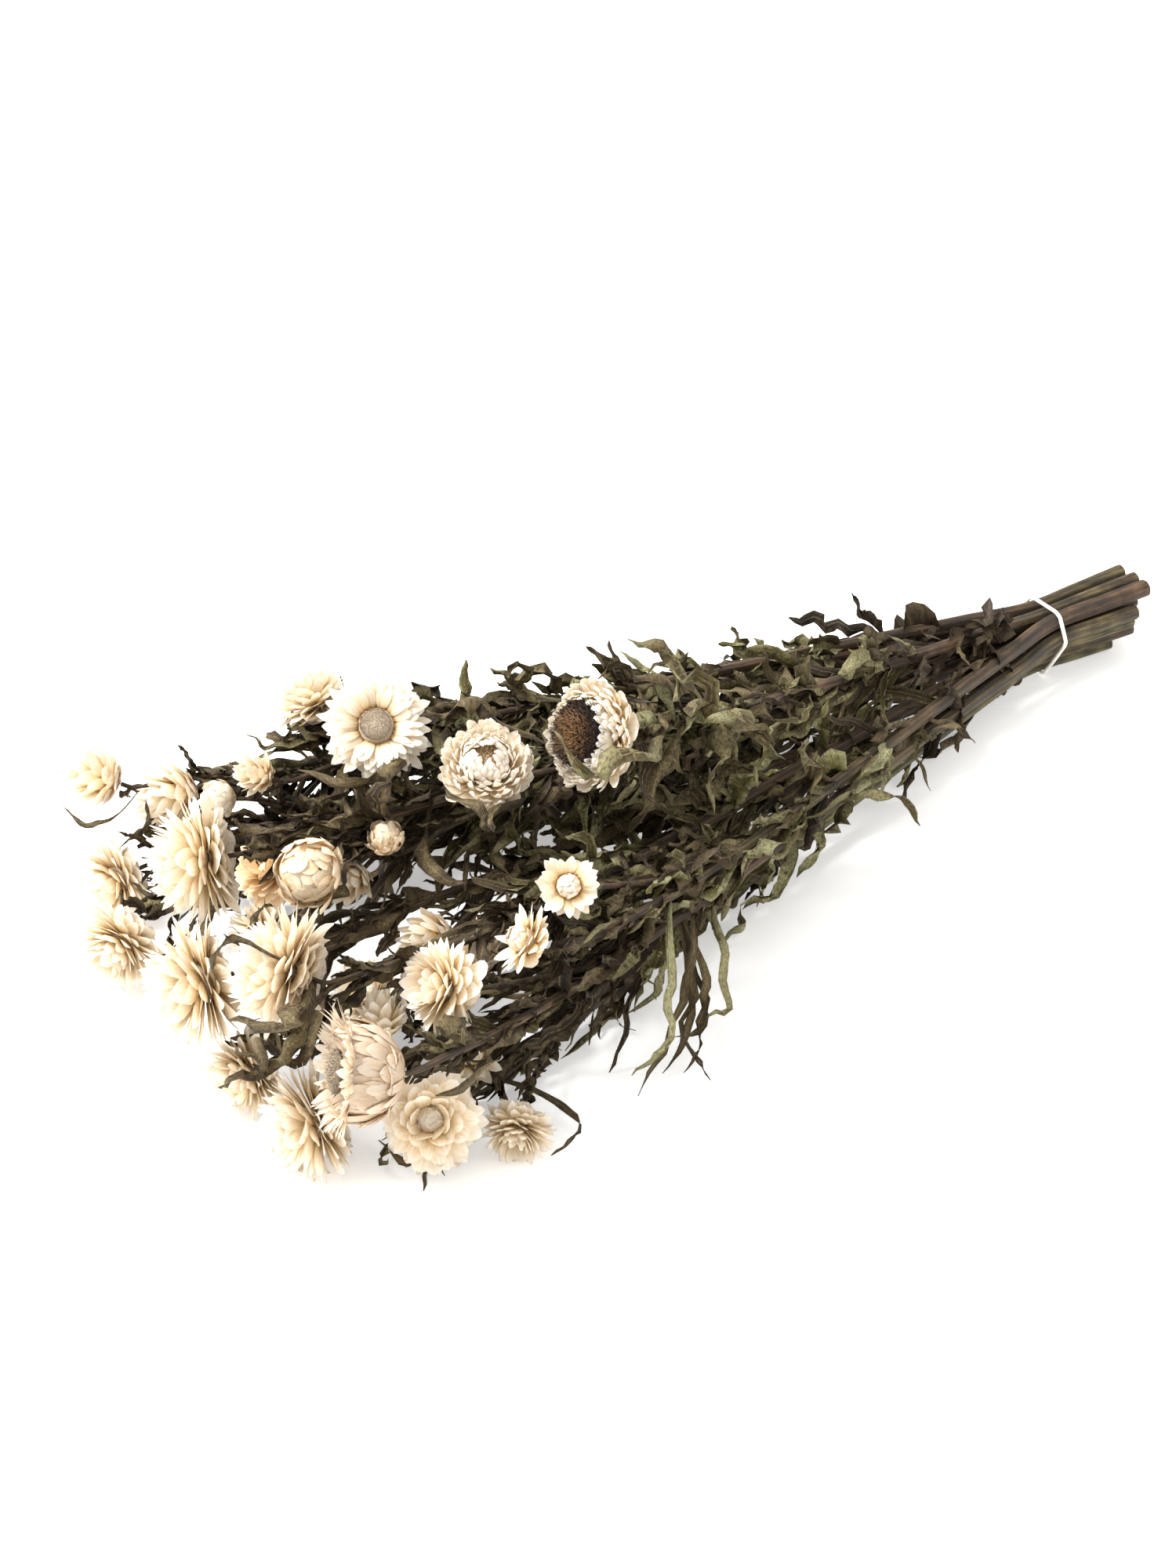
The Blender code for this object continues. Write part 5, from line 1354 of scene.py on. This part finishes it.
# %% [markdown]
# ## The discs
#
# Four heads are open enough to show their florets. A disc is a low dome, and its florets stand on it in the
# same spiral as the bracts. Each floret is a small tapered spike, and hundreds of them read as fuzz.

# %% Florets of each disc
# head: number of florets, their length and half thickness, how untidy they are, how pale and how grey,
# how much longer the ones at the rim are, and the dome's rise and breadth as shares of the plain one's
DISCS = {
    "head_07": (800, 0.45, 0.24, 0.1, 0.85, 0.85, 2.6, 0.22, 0.84),
    "head_08": (420, 1.6, 0.28, 0.16, 1.0, 0.1, 1.3, 0.6, 0.95),
    "head_09": (2200, 4.2, 0.14, 0.42, 0.0, 0.0, 1.3, 1.0, 1.0),
    "head_20": (420, 1.8, 0.25, 0.16, 0.3, 0.75, 1.4, 1.0, 1.0),
}


def disc_florets(name):
    """A dome and its florets. Floret i of n stands at share r = sqrt((i + 0.5) / n) of the dome's radius,
    at height rise (1 - r squared), and points along the dome's outward normal with a little disorder."""
    middle, n, radius, kind = heart(name)
    _, _, wide, tall, _ = KINDS[kind]
    count, length, girth, untidy, pale, grey, rim, dome_share, breadth = DISCS[name]
    draw = np.random.default_rng(200 + int(name[-2:]))
    size, rise = DISC_SHARE * wide * radius * breadth, DISC_RISE * radius * dome_share
    base = middle + n * (tall * radius + SEAT_GAP)
    order = np.arange(count)
    r, turns = np.sqrt((order + 0.5) / count), GOLDEN_TURN * order
    out, tangent = around(n, turns)
    foot = base + (rise * (1 - r**2) - 0.3)[:, None] * n + (0.97 * size * r)[:, None] * out
    ahead = unit(n + (1.6 * rise * r / size)[:, None] * out + draw.normal(0, untidy, (count, 3)))
    side = unit(tangent - (tangent * ahead).sum(axis=1)[:, None] * ahead)
    up = np.cross(ahead, side)
    s = np.array([0, 0.55, 1.0])
    tall_each = length * draw.uniform(0.6, 1.25, count) * (1 + (rim - 1) * r**14)
    tips = np.clip(s * draw.uniform(0.5, 1.3, (count, 1)) * (1.25 - 1.1 * r[:, None] ** 2), 0, 1)
    line = foot[:, None, :] + (tall_each[:, None] * s)[..., None] * ahead[:, None, :]
    half = girth * np.array([0.8, 1.0, 0.25]) * draw.uniform(0.7, 1.3, (count, 1))
    shape = (count, len(s), 3)
    florets = blade_mass(
        line, np.broadcast_to(side[:, None], shape), np.broadcast_to(up[:, None], shape), half,
        np.zeros_like(half), 1.8 * half, np.broadcast_to(s, half.shape),
        tip=tips, pale=np.full(count, pale), grey=np.full(count, grey),
    )
    a = np.linspace(0, math.pi / 2, 6)
    heights = np.concatenate([[0.0], rise * np.sin(a)])
    girths = np.concatenate([[0.0], size * np.cos(a)])
    dome = turned(base, n, heights, girths, 28, tip=0.1, pale=pale, grey=grey)
    return joined([florets, dome])


for name in DISCS:
    node = name.replace("head", "disc")
    total_triangles += make_piece(node + "_florets", disc_florets(name), floret_skin, "disc", node)

# %% [markdown]
# ## The stems
#
# A stem is a ribbed rod of a few millimetres. A curve with a bevel would give it a round section only, so
# the ribs are part of the formula: the ring at each station swells and sinks seven times round. The cut
# ends show a rim of bark round a sunken core of pith.

# %% A smooth run through the knots
STATIONS_A_KNOT = 8


def smooth_run(knots, values, parts):
    """Points, values and unit tangents along a smooth curve through knots. Between two knots it is the
    cubic whose ends have the knots' tangents, each as long as the straight way between them."""
    legs = np.diff(knots, axis=0)
    ways = unit(legs)
    tangents = unit(np.vstack([ways[:1], ways[:-1] + ways[1:], ways[-1:]]))
    t = (np.arange(parts) / parts)[:, None]
    length = np.linalg.norm(legs, axis=1)[:, None, None]
    a, b = knots[:-1, None], knots[1:, None]
    m, n = tangents[:-1, None] * length, tangents[1:, None] * length
    run = (2 * t**3 - 3 * t**2 + 1) * a + (t**3 - 2 * t**2 + t) * m
    run = run + (3 * t**2 - 2 * t**3) * b + (t**3 - t**2) * n
    points = np.vstack([run.reshape(-1, 3), knots[-1:]])
    places = np.arange(len(points)) / parts
    return points, np.interp(places, np.arange(len(knots)), values), unit(np.gradient(points, axis=0))


def frames(tangents):
    """Two directions square to each tangent, the first of them level. All three are right-handed."""
    level = unit(np.cross([0.0, 0.0, 1.0], tangents) + 1e-6)
    return level, np.cross(tangents, level)


run_points, _, _ = smooth_run(stalks[0]["knots"], stalks[0]["radii"], STATIONS_A_KNOT)
print("the first stem has", len(run_points), "stations")

# %% Ribbed stems
RIBS = 7
RIB_DEPTH = 0.045
OLIVE_SHARE = 0.3  # of the stems: the others have dried brown
# The rings that close a stalk's first end: how far each is pushed along it in millimetres, its share of
# the full radius, and how pale it is. A cut end runs from the middle of its pith to its rim and its bark.
CUT_END = (0.9, 0.8, 0.05, 0.0, 0.35), (0, 0.45, 0.6, 0.93), (1, 1, 1, 0.7)
BLUNT_END = (-0.5,), (0.0,), ()


def ribbed(stalk, draw, main):
    """One stalk. Its radius at turn a is r (1 + depth cos(ribs a + slow twist) + soft noise). Rings are
    added at its two ends by repeating the first and last rows of all arrays, then moved and drawn in."""
    line, radii, tangents = smooth_run(stalk["knots"], stalk["radii"], STATIONS_A_KNOT)
    stations, corners = len(line), 24 if main else 16
    a = np.arange(corners) * 2 * math.pi / corners
    twist = draw.uniform(0, 6) + draw.uniform(-2, 2) * np.linspace(0, 1, stations)
    wave = np.cos(RIBS * a + twist[:, None] * 2)
    slow, quick = smooth_noise(draw, 1, stations, 9)[0], smooth_noise(draw, 1, stations, 40)[0]
    lumps = 0.09 * slow + 0.09 * quick - 0.05
    shape = 1 + RIB_DEPTH * wave + lumps[:, None]
    ahead, inset, pale = CUT_END if main else BLUNT_END
    lead = len(inset)
    rows = np.concatenate([np.zeros(lead, int), np.arange(stations), [stations - 1]])
    line, tangents, radii, shape, wave = (part[rows] for part in (line, tangents, radii, shape, wave))
    line[: len(ahead)] += np.array(ahead)[:, None] * tangents[0]
    line[-1] += 0.2 * tangents[-1]
    radii[:lead] *= inset
    radii[-1] = 0.0
    pith = np.zeros(len(rows))
    if main:
        shape[:lead], wave[:lead], pith[:lead] = shape[:lead] * 0.5 + 0.5, 0.0, pale
    level, upright = frames(tangents)
    olive = draw.choice([0.95, 0.12], p=[OLIVE_SHARE, 1 - OLIVE_SHARE])
    green = np.clip(0.5 * smooth_noise(draw, 1, len(line), 4)[0] + olive, 0, 1)
    # painted shade: this value is 1 on the ridges and 0 in the grooves, which are coloured darker
    return swept(
        line, level, upright, radii, corners, shape, ridge=wave / 2 + 0.5, pith=pith[:, None],
        green=green[:, None], tint=draw.random(),
    )


for stem in sorted(leaves):
    draw = np.random.default_rng(300 + stem)
    mass = joined([ribbed(s, draw, is_main(s)) for s in stalks if s["stem"] == stem])
    node = f"stem_{stem:02d}"
    total_triangles += make_piece(node + "_ribbed", mass, stem_skin, "stem_and_leaf", node)

# %% [markdown]
# ## The foliage
#
# Strawflower leaves are narrow, and they wither on the stem: each rolls, twists and crinkles, and most
# point up the stem towards its head. The larger ones of the plain model are made finer here, and about
# a hundred more are drawn at random for each stem. A leaf that would stand in a head or outside the
# bunch is dropped, and another takes its place.

# %% Leaf forms
LEAF_STATIONS = 16
LEAF_SHARES = np.linspace(0, 1, LEAF_STATIONS)
LEAF_WIDTHS = np.interp(LEAF_SHARES, (0, 0.1, 0.35, 0.7, 0.92, 1), (0.3, 0.55, 1, 0.8, 0.36, 0.08))
LEAST_HALF = 0.4  # millimetres, of half a leaf's width: thinner ones would break up into dots
FINE_LEAF_THICK = 0.3
KEPT_CLEAR = 0.8  # the share of a head's radius that no random leaf enters
stalk_points = np.vstack([sampled(s["knots"], s["radii"], 5.0)[1] for s in stalks])
box_low, box_high = (np.array(corner) / MM for corner in cad_box)
FREE_FROM = 12.0  # millimetres from the nearest stalk to a leaf's tip, past which it hangs free
SWAY_UP, SWAY_ASIDE = 5.0, 4.0  # millimetres, for a leaf of 45
WRIGGLE_FREE, WRIGGLE_AMONG = 2.2, 0.7  # millimetres, for leaves that hang free and for the others
BLADE_TURN = 3.0  # radians that a blade may turn about its line


def distance_to_stalks(points):
    """How far each point lies from the nearest sampled point of any stalk."""
    return np.linalg.norm(points[..., None, :] - stalk_points, axis=-1).min(axis=-1)


def withered(lines, sides, widths, draw, green):
    """Leaves as a mass: each line sways by soft noise and wriggles as a corkscrew, its blade rolls into a
    trough, and it twists. One that hangs free wriggles most."""
    count = len(lines)
    along = unit(np.gradient(lines, axis=1))
    side = unit(sides - (sides * along).sum(axis=-1, keepdims=True) * along)
    up = np.cross(along, side)
    grow = LEAF_SHARES * (1.3 - LEAF_SHARES)
    size = (np.linalg.norm(lines[:, -1] - lines[:, 0], axis=-1) / 45)[:, None]
    turn = 2 * math.pi * draw.uniform(2, 3.6, (count, 1)) * LEAF_SHARES + draw.uniform(0, 6, (count, 1))
    free = distance_to_stalks(lines[:, -1]) > FREE_FROM
    freedom = np.where(free, WRIGGLE_FREE, WRIGGLE_AMONG)[:, None]
    wriggle = draw.gamma(1.5, 0.6, (count, 1)) * size * grow * freedom
    rise = SWAY_UP * size * smooth_noise(draw, count, LEAF_STATIONS, 5) * grow + wriggle * np.sin(turn)
    shift = SWAY_ASIDE * size * smooth_noise(draw, count, LEAF_STATIONS, 4) * grow + wriggle * np.cos(turn)
    lines = lines + rise[..., None] * up + shift[..., None] * side
    along = unit(np.gradient(lines, axis=1))
    turn = BLADE_TURN * smooth_noise(draw, count, LEAF_STATIONS, 4) * LEAF_SHARES
    side = swung(side, up, turn)
    side = unit(side - (side * along).sum(axis=-1, keepdims=True) * along)
    up = np.cross(along, side)
    half = widths[:, None] / 2 * LEAF_WIDTHS * (1 + 0.3 * smooth_noise(draw, count, LEAF_STATIONS, 6))
    half[:, :-1] = np.maximum(half[:, :-1], LEAST_HALF)
    cup = draw.uniform(0.2, 1.5, (count, 1)) * draw.choice([-1, 1], (count, 1), p=[0.35, 0.65])
    cups = cup * (0.8 + 1.1 * smooth_noise(draw, count, LEAF_STATIONS, 6))
    thick = np.full(half.shape, FINE_LEAF_THICK)
    shares = np.broadcast_to(LEAF_SHARES, half.shape)
    return blade_mass(lines, side, up, half, cups, thick, shares, tint=draw.random(count), green=green)


print("the box of the bunch has a length of", round(float(box_high[0] - box_low[0]), 1), "mm")

# %% The leaves of the plain model, finer
FREE_WIDTH = 0.7  # a leaf that hangs free has shrunk to this share of its width
COMPANIONS = 3  # smaller leaves beside each one that lies among the stems


def finer(leaf, free_width=FREE_WIDTH):
    """The line and widthwise directions of a plain leaf, at more stations."""
    points, sides, width = leaf
    line, _, _ = smooth_run(points, np.zeros(len(points)), (LEAF_STATIONS - 1) // (len(points) - 1))
    places = np.linspace(0, len(points) - 1, LEAF_STATIONS)
    free = distance_to_stalks(line[-1]) > FREE_FROM
    return line, unit(on_pieces(np.asarray(sides), places)), width * (free_width if free else 0.95)


def companions(lines, sides, widths, draw):
    """Smaller copies of the leaves that lie among the stems, which drift away from them to their tips."""
    among = distance_to_stalks(lines[:, -1]) < FREE_FROM
    again = [np.repeat(part[among], COMPANIONS, axis=0) for part in (lines, sides, widths)]
    count = len(again[2])
    drift = draw.normal(0, 6, (count, 1, 3)) * LEAF_SHARES[:, None] ** 1.5
    scale = draw.uniform(0.5, 0.95, (count, 1, 1))
    root = again[0][:, :1]
    return root + (again[0] - root) * scale + drift, again[1], again[2] * draw.uniform(0.45, 0.8, count)


print("the first stem has", len(leaves[1]), "leaves of the plain model")

# %% More leaves along the stalks
# number, where on the stalk they grow (first, most and last, as shares), their lengths and widths in mm,
# and the turns round it at which they grow (0.5 is straight up, 1.5 straight down, in units of pi)
ON_MAIN = (76, (0.13, 0.7, 0.97), (22, 66), (2.5, 8.0), (0.6, 1.5, 2.4))
ON_TOP = (16, (0.24, 0.45, 0.9), (22, 52), (5.0, 11.0), (-0.1, 0.5, 1.1))
NEAR_HEAD = (12, (0.72, 0.92, 0.98), (12, 36), (2.5, 6.0), (0.0, 1.0, 2.0))
ON_SIDE = (9, (0.05, 0.7, 0.97), (8, 28), (2.0, 4.5), (0.0, 1.0, 2.0))
THICKET = (26, (0.66, 0.84, 0.97), (24, 54), (4.0, 9.0), (-0.2, 0.6, 1.2))
THICK_STEMS = (2, 3, 4, 5)  # their heads stand in a thicket of dark leaves
GRID_STEP = 12.0  # millimetres along the bunch, between the places where its breadth is measured
TRIES_A_LEAF = 8
MORE_LEANS = (4, 14, 66)  # degrees between a leaf and its stalk: least, most often and most
MORE_TWIST = 2.8  # radians from foot to tip, either way
STAND_OFF = (4, 4.5, 12)  # millimetres from all stalks: always allowed, more on average, and at most
BOX_ROOM = 4  # millimetres that a line may pass the box of the bunch
LOWEST = -3  # height of a line's lowest point, which is then pressed up onto the table


def amid(points):
    """Whether points lie between the outermost stalks in plan, and not above them all."""
    order = np.argsort(stalk_points[:, 0])
    x, y, z = stalk_points[order].T
    grid = np.arange(x[0], x[-1], GRID_STEP)
    near = np.abs(x - grid[:, None]) < GRID_STEP
    right = np.interp(points[..., 0], grid, np.where(near, y, np.inf).min(axis=1))
    left = np.interp(points[..., 0], grid, np.where(near, y, -np.inf).max(axis=1))
    top = np.interp(points[..., 0], grid, np.where(near, z, -np.inf).max(axis=1))
    return (points[..., 1] > right) & (points[..., 1] < left) & (points[..., 2] < top)


print("amid the stalks:", bool(amid(np.array([0.0, 0.0, 40.0]))), "at the middle of the bunch")

# %% Leaves at random along a stalk
def more_leaves(stalk, draw, count, places, lengths, breadths, turns):
    """Lines of random leaves: each sets out from its stalk at a lean, and its steps swing from ahead
    towards its normal, most at its tip. One in a head, outside the bunch or far from all stalks goes."""
    run, _, tangents = smooth_run(stalk["knots"], stalk["radii"], STATIONS_A_KNOT)
    tries = TRIES_A_LEAF * count
    place = (draw.triangular(*places, tries) * (len(run) - 1)).astype(int)
    root, along = run[place], tangents[place]
    level, upright = frames(along)
    a = math.pi * draw.triangular(*turns, tries)
    out = swung(level, upright, a)
    ahead = swung(along, out, np.radians(draw.triangular(*MORE_LEANS, tries)))
    side = unit(np.cross(ahead, out))
    normal = np.cross(side, ahead)
    length, width = draw.uniform(*lengths, tries), draw.uniform(*breadths, tries)
    bend, hook = draw.normal(0, 0.5, (tries, 1)), draw.normal(0, 0.8, (tries, 1))
    angle = bend * (LEAF_SHARES[:-1] + 0.04) + hook * LEAF_SHARES[:-1] ** 3
    steps = np.cumsum(swung(ahead[:, None], normal[:, None], angle), axis=1)
    steps = steps * (length / (LEAF_STATIONS - 1))[:, None, None]
    lines = root[:, None] + np.concatenate([np.zeros_like(steps[:, :1]), steps], axis=1)
    twist = draw.uniform(-MORE_TWIST, MORE_TWIST, tries)[:, None] * LEAF_SHARES
    up = swung(normal[:, None], -ahead[:, None], np.concatenate([angle[:, :1], angle], axis=1))
    sides = swung(side[:, None], up, twist)
    away = np.linalg.norm(lines[:, 3:, None] - HEAD_BALLS, axis=-1) - KEPT_CLEAR * HEAD_RADII
    inside = ((lines > box_low - BOX_ROOM) & (lines < box_high + BOX_ROOM)).all(axis=(1, 2))
    always, more, most = STAND_OFF
    free = always + np.minimum(draw.exponential(more, tries), most)
    close = distance_to_stalks(lines[:, 9::3]).max(axis=1) < free
    close |= amid(lines[:, 6::3]).all(axis=1)
    good = inside & close & (away.min(axis=(1, 2)) > 1.0) & (lines[..., 2].min(axis=1) > LOWEST)
    good = np.nonzero(good)[0][:count]
    return lines[good], sides[good], width[good]


print("up to", ON_MAIN[0] + NEAR_HEAD[0], "more leaves a stem")

# %% Leaves that lie over the heads
# As in the plain model's list: (stem, x, y, z of the root, of a point on the way and of the tip, width),
# and how green the leaf is
OVER_HEADS = (
    (12, (-34, -22, 96), (-81, -59, 119), (-104, -40, 126), 8, 0.6),
    (4, (-110, 22, 92), (-155, 8, 100), (-180, 27, 101), 7, 0.25),
    (4, (-112, 22, 92), (-160, 2, 90), (-152, 3, 104), 9, 0.25),
    (6, (-90, -8, 92), (-135, -46, 101), (-142, -28, 113), 7, 0.25),
    (6, (-62, 2, 92), (-100, 16, 110), (-122, 24, 109), 7, 0.25),
    (12, (-20, -16, 92), (-42, -14, 122), (-63, -12, 127), 6, 0.25),
    (10, (-222, -64, 78), (-258, -66, 107), (-270, -70, 93), 4, 0.25),
    (10, (-226, -66, 76), (-252, -94, 86), (-271, -82, 85), 9, 0.25),
    (9, (-190, -40, 40), (-226, -54, 32), (-233, -43, 40), 6, 0.25),
    (11, (-215, -34, 22), (-262, -74, 50), (-272, -70, 46), 5, 0.25),
    (11, (-225, -36, 22), (-256, -76, 64), (-259, -80, 52), 5, 0.25),
    (14, (-190, -106, 22), (-209, -110, 10), (-219, -98, 17), 5, 0.25),
)
# Thin ones that hang down in front of the bunch
HANGING = (
    (13, (-61, -89, 50), (-78, -101, 22), (-95, -107, 2), 3.5, 0.2),
    (13, (-59, -90, 50), (-71, -103, 24), (-89, -102, 11), 4, 0.35),
    (13, (-58, -92, 49), (-75, -105, 19), (-87, -114, 2), 3, 0.15),
    (13, (109, -8, 50), (116, -18, 43), (121, -26, 37), 3.5, 0.4),
    (13, (106, -5, 49), (99, -14, 33), (100, -26, 19), 3.5, 0.4),
)
# Dark scraps by the band, and the leafy tuft behind the furry head
SCRAPS = (
    (12, (182, 20, 51), (172, 29, 55), (162, 33, 51), 12, 0.05),
    (13, (179, 18, 48), (168, 25, 47), (158, 28, 42), 12, 0.05),
    (12, (186, 20, 52), (176, 25, 52), (165, 26, 44), 10, 0.05),
    (13, (181, 19, 49), (171, 19, 42), (167, 21, 40), 10, 0.05),
    (12, (-14, -16, 92), (-30, -32, 120), (-50, -30, 132), 8, 0.5),
    (12, (-8, -15, 90), (-22, -2, 118), (-36, 8, 124), 8, 0.5),
    (12, (0, -14, 88), (-12, -36, 104), (-6, -54, 96), 9, 0.5),
    (12, (4, -14, 88), (-20, -36, 88), (-34, -52, 72), 9, 0.5),
)
LEAF_GREEN = (0.48, 0.32)  # how green leaves are, 0 to 1: the mean and the spread
BLACK_FROM, BLACK_SHARE = 150.0, 0.3  # from here to the cut ends leaves keep this share of their green
DARK_TO, DARK_SHARE = -95.0, 0.5  # and so do those among the heads

by_hand = (*OVER_HEADS, *HANGING, *SCRAPS)
print(len(by_hand), "leaves laid by hand")

# %% The foliage of each stem
def foliage(stem):
    """All leaves of one stem: the listed ones, the plain model's, smaller ones beside those, and
    random ones along its stalks."""
    draw = np.random.default_rng(400 + stem)
    knots = next(s["knots"] for s in stalks if s["stem"] == stem and is_main(s))
    mine = [row for row in by_hand if row[0] == stem]
    rows = [finer(chosen_leaf(row[:5], knots, 0), 1.0) for row in mine]
    rows += [finer(leaf) for leaf in leaves[stem]]
    larger = [np.array(part) for part in zip(*rows)]
    parts = [larger, companions(*(part[len(mine) :] for part in larger), draw)]
    for stalk in stalks:
        if stalk["stem"] == stem:
            groups = (ON_MAIN, ON_TOP, NEAR_HEAD) if is_main(stalk) else (ON_SIDE,)
            if is_main(stalk) and stem in THICK_STEMS:
                groups += (THICKET,)
            parts += [more_leaves(stalk, draw, *group) for group in groups]
    lines, sides, widths = (np.concatenate([part[k] for part in parts]) for k in range(3))
    green = np.clip(draw.normal(*LEAF_GREEN, len(widths)), 0, 1)
    green[lines[:, 0, 0] > BLACK_FROM] *= BLACK_SHARE
    green[lines[:, 0, 0] < DARK_TO] *= DARK_SHARE
    green[: len(mine)] = [row[5] for row in mine]
    return withered(lines, sides, widths, draw, green)


for stem in sorted(leaves):
    total_triangles += make_piece(f"stem_{stem:02d}_foliage", foliage(stem), leaf_skin, "stem_and_leaf")

# %% [markdown]
# ## The band
#
# One turn of a white rubber band holds the stems. Stretched rubber takes the shortest way round, which is
# the outline that touches the outermost stems from outside. It is worked out from the stems' own circles.

# %% The rubber band
BAND_RADIUS = 0.9
BAND_GAP = 0.35  # as in the plain model
BAND_STATIONS = 180
BAND_CORNERS = 12


def band_mass():
    """A closed loop. In each direction the outline lies as far out as the farthest stem reaches, and its
    corner with the next direction solves two straight lines at once. A round section follows it."""
    ties = [(s["knots"][2], s["radii"][2]) for s in stalks if is_main(s)]
    centres, radii = np.array([c[1:] for c, _ in ties]), np.array([r for _, r in ties])
    middle = centres.mean(axis=0)
    a = np.linspace(0, 2 * math.pi, BAND_STATIONS + 1)
    outs = np.column_stack([np.cos(a), np.sin(a)])
    reach = ((centres - middle) @ outs.T + radii[:, None]).max(axis=0) + BAND_RADIUS + BAND_GAP
    pairs = np.stack([outs[:-1], outs[1:]], axis=1)
    corners = np.linalg.solve(pairs, np.stack([reach[:-1], reach[1:]], axis=1)[..., None])[..., 0]
    line = np.column_stack([np.full(BAND_STATIONS, TIE_X), corners + middle])
    tangent = unit(np.roll(line, -1, axis=0) - np.roll(line, 1, axis=0))
    lengthwise = np.array([1.0, 0.0, 0.0])
    outward = np.cross(tangent, lengthwise)
    draw = np.random.default_rng(500)
    sway = 0.5 * smooth_noise(draw, 1, BAND_STATIONS // 2, 5)[0]
    line[:, 0] += np.concatenate([sway, sway[::-1]])
    b = np.arange(BAND_CORNERS) * 2 * math.pi / BAND_CORNERS
    points = line[:, None, :] + BAND_RADIUS * swung(lengthwise, outward[:, None], b)
    j, i = np.meshgrid(np.arange(BAND_STATIONS), np.arange(BAND_CORNERS), indexing="ij")
    uv = np.stack([i / BAND_CORNERS, j / BAND_STATIONS], axis=-1).reshape(-1, 2)
    right, here, after = (i + 1) % BAND_CORNERS, j * BAND_CORNERS, (j + 1) % BAND_STATIONS * BAND_CORNERS
    quads = np.stack([here + i, here + right, after + right, after + i], axis=-1).reshape(-1, 4)
    return dict(points=points.reshape(-1, 3), faces=[quads], uv=uv, values={})


total_triangles += make_piece("band_loop", band_mass(), rubber, "band", "rubber_band")
print("all pieces:", total_triangles, "triangles")

# %% [markdown]
# ## Table, light and camera
#
# The photograph is bright and even: a white table, a white wall, and soft light from above that leaves only
# faint shadows. A wide sheet stands for the table, a bright world for the white room, and one large
# soft lamp gives the bracts their form.

# %% Table
FLOOR_HALF = 6.0  # metres


def table_material():
    """White painted board: matt, with nothing to see in it."""
    made, tree = new_material("white_painted_board")
    spot = add(tree, "ShaderNodeTexCoord").outputs["Object"]
    grain = add(tree, "ShaderNodeTexNoise", {"Vector": spot, "Scale": 3.0})
    colour = add(tree, "ShaderNodeValToRGB", {0: grain}, [(0.0, "f3f2f0"), (1.0, "f7f6f4")])
    glow = {"Emission Color": "ffffff", "Emission Strength": 0.36}  # a table lit from below, too
    skin = add(tree, "ShaderNodeBsdfPrincipled", {"Base Color": colour, "Roughness": 0.8, **glow})
    add(tree, "ShaderNodeOutputMaterial", {"Surface": skin})
    return made


sheet = bpy.data.meshes.new("floor")
corners = [(FLOOR_HALF * x, FLOOR_HALF * y, 0) for x, y in ((-1, -1), (1, -1), (1, 1), (-1, 1))]
sheet.from_pydata(corners, [], [(0, 1, 2, 3)])
sheet.materials.append(table_material())
floor = bpy.data.objects.new("floor", sheet)
bpy.context.scene.collection.objects.link(floor)
print("made", sheet.materials[0].name)

# %% Light
world = bpy.data.worlds.new("white_room")
world.use_nodes = True
world.node_tree.nodes["Background"].inputs["Color"].default_value = (1.0, 0.99, 0.97, 1.0)
world.node_tree.nodes["Background"].inputs["Strength"].default_value = 1.22
bpy.context.scene.world = world

LAMP_PLACE = Vector((-0.9, 0.5, 1.4))  # it faces the middle of the bunch
lamp_data = bpy.data.lights.new("key_light", "AREA")
lamp_data.energy, lamp_data.size = 62, 0.9  # watts, and metres
lamp = bpy.data.objects.new("key_light", lamp_data)
lamp.location = LAMP_PLACE
lamp.rotation_euler = LAMP_PLACE.to_track_quat("Z", "Y").to_euler()
bpy.context.scene.collection.objects.link(lamp)
print("a white room and one square lamp of", lamp_data.energy, "watts above the heads")

# %% Camera
BACK = Vector((-0.4515, -0.6953, 0.5590))  # from the bunch towards the camera
TARGET = Vector((-0.0469, 0.0207, 0.05))
DISTANCE = 1.55
camera_data = bpy.data.cameras.new("camera")
camera_data.lens = 85
camera = bpy.data.objects.new("camera", camera_data)
camera.location = TARGET + BACK * DISTANCE
camera.rotation_euler = BACK.to_track_quat("Z", "Y").to_euler()
bpy.context.scene.collection.objects.link(camera)
bpy.context.scene.camera = camera
bpy.context.scene.view_settings.view_transform = "Standard"
print("the camera stands at", [round(float(value), 2) for value in camera.location])
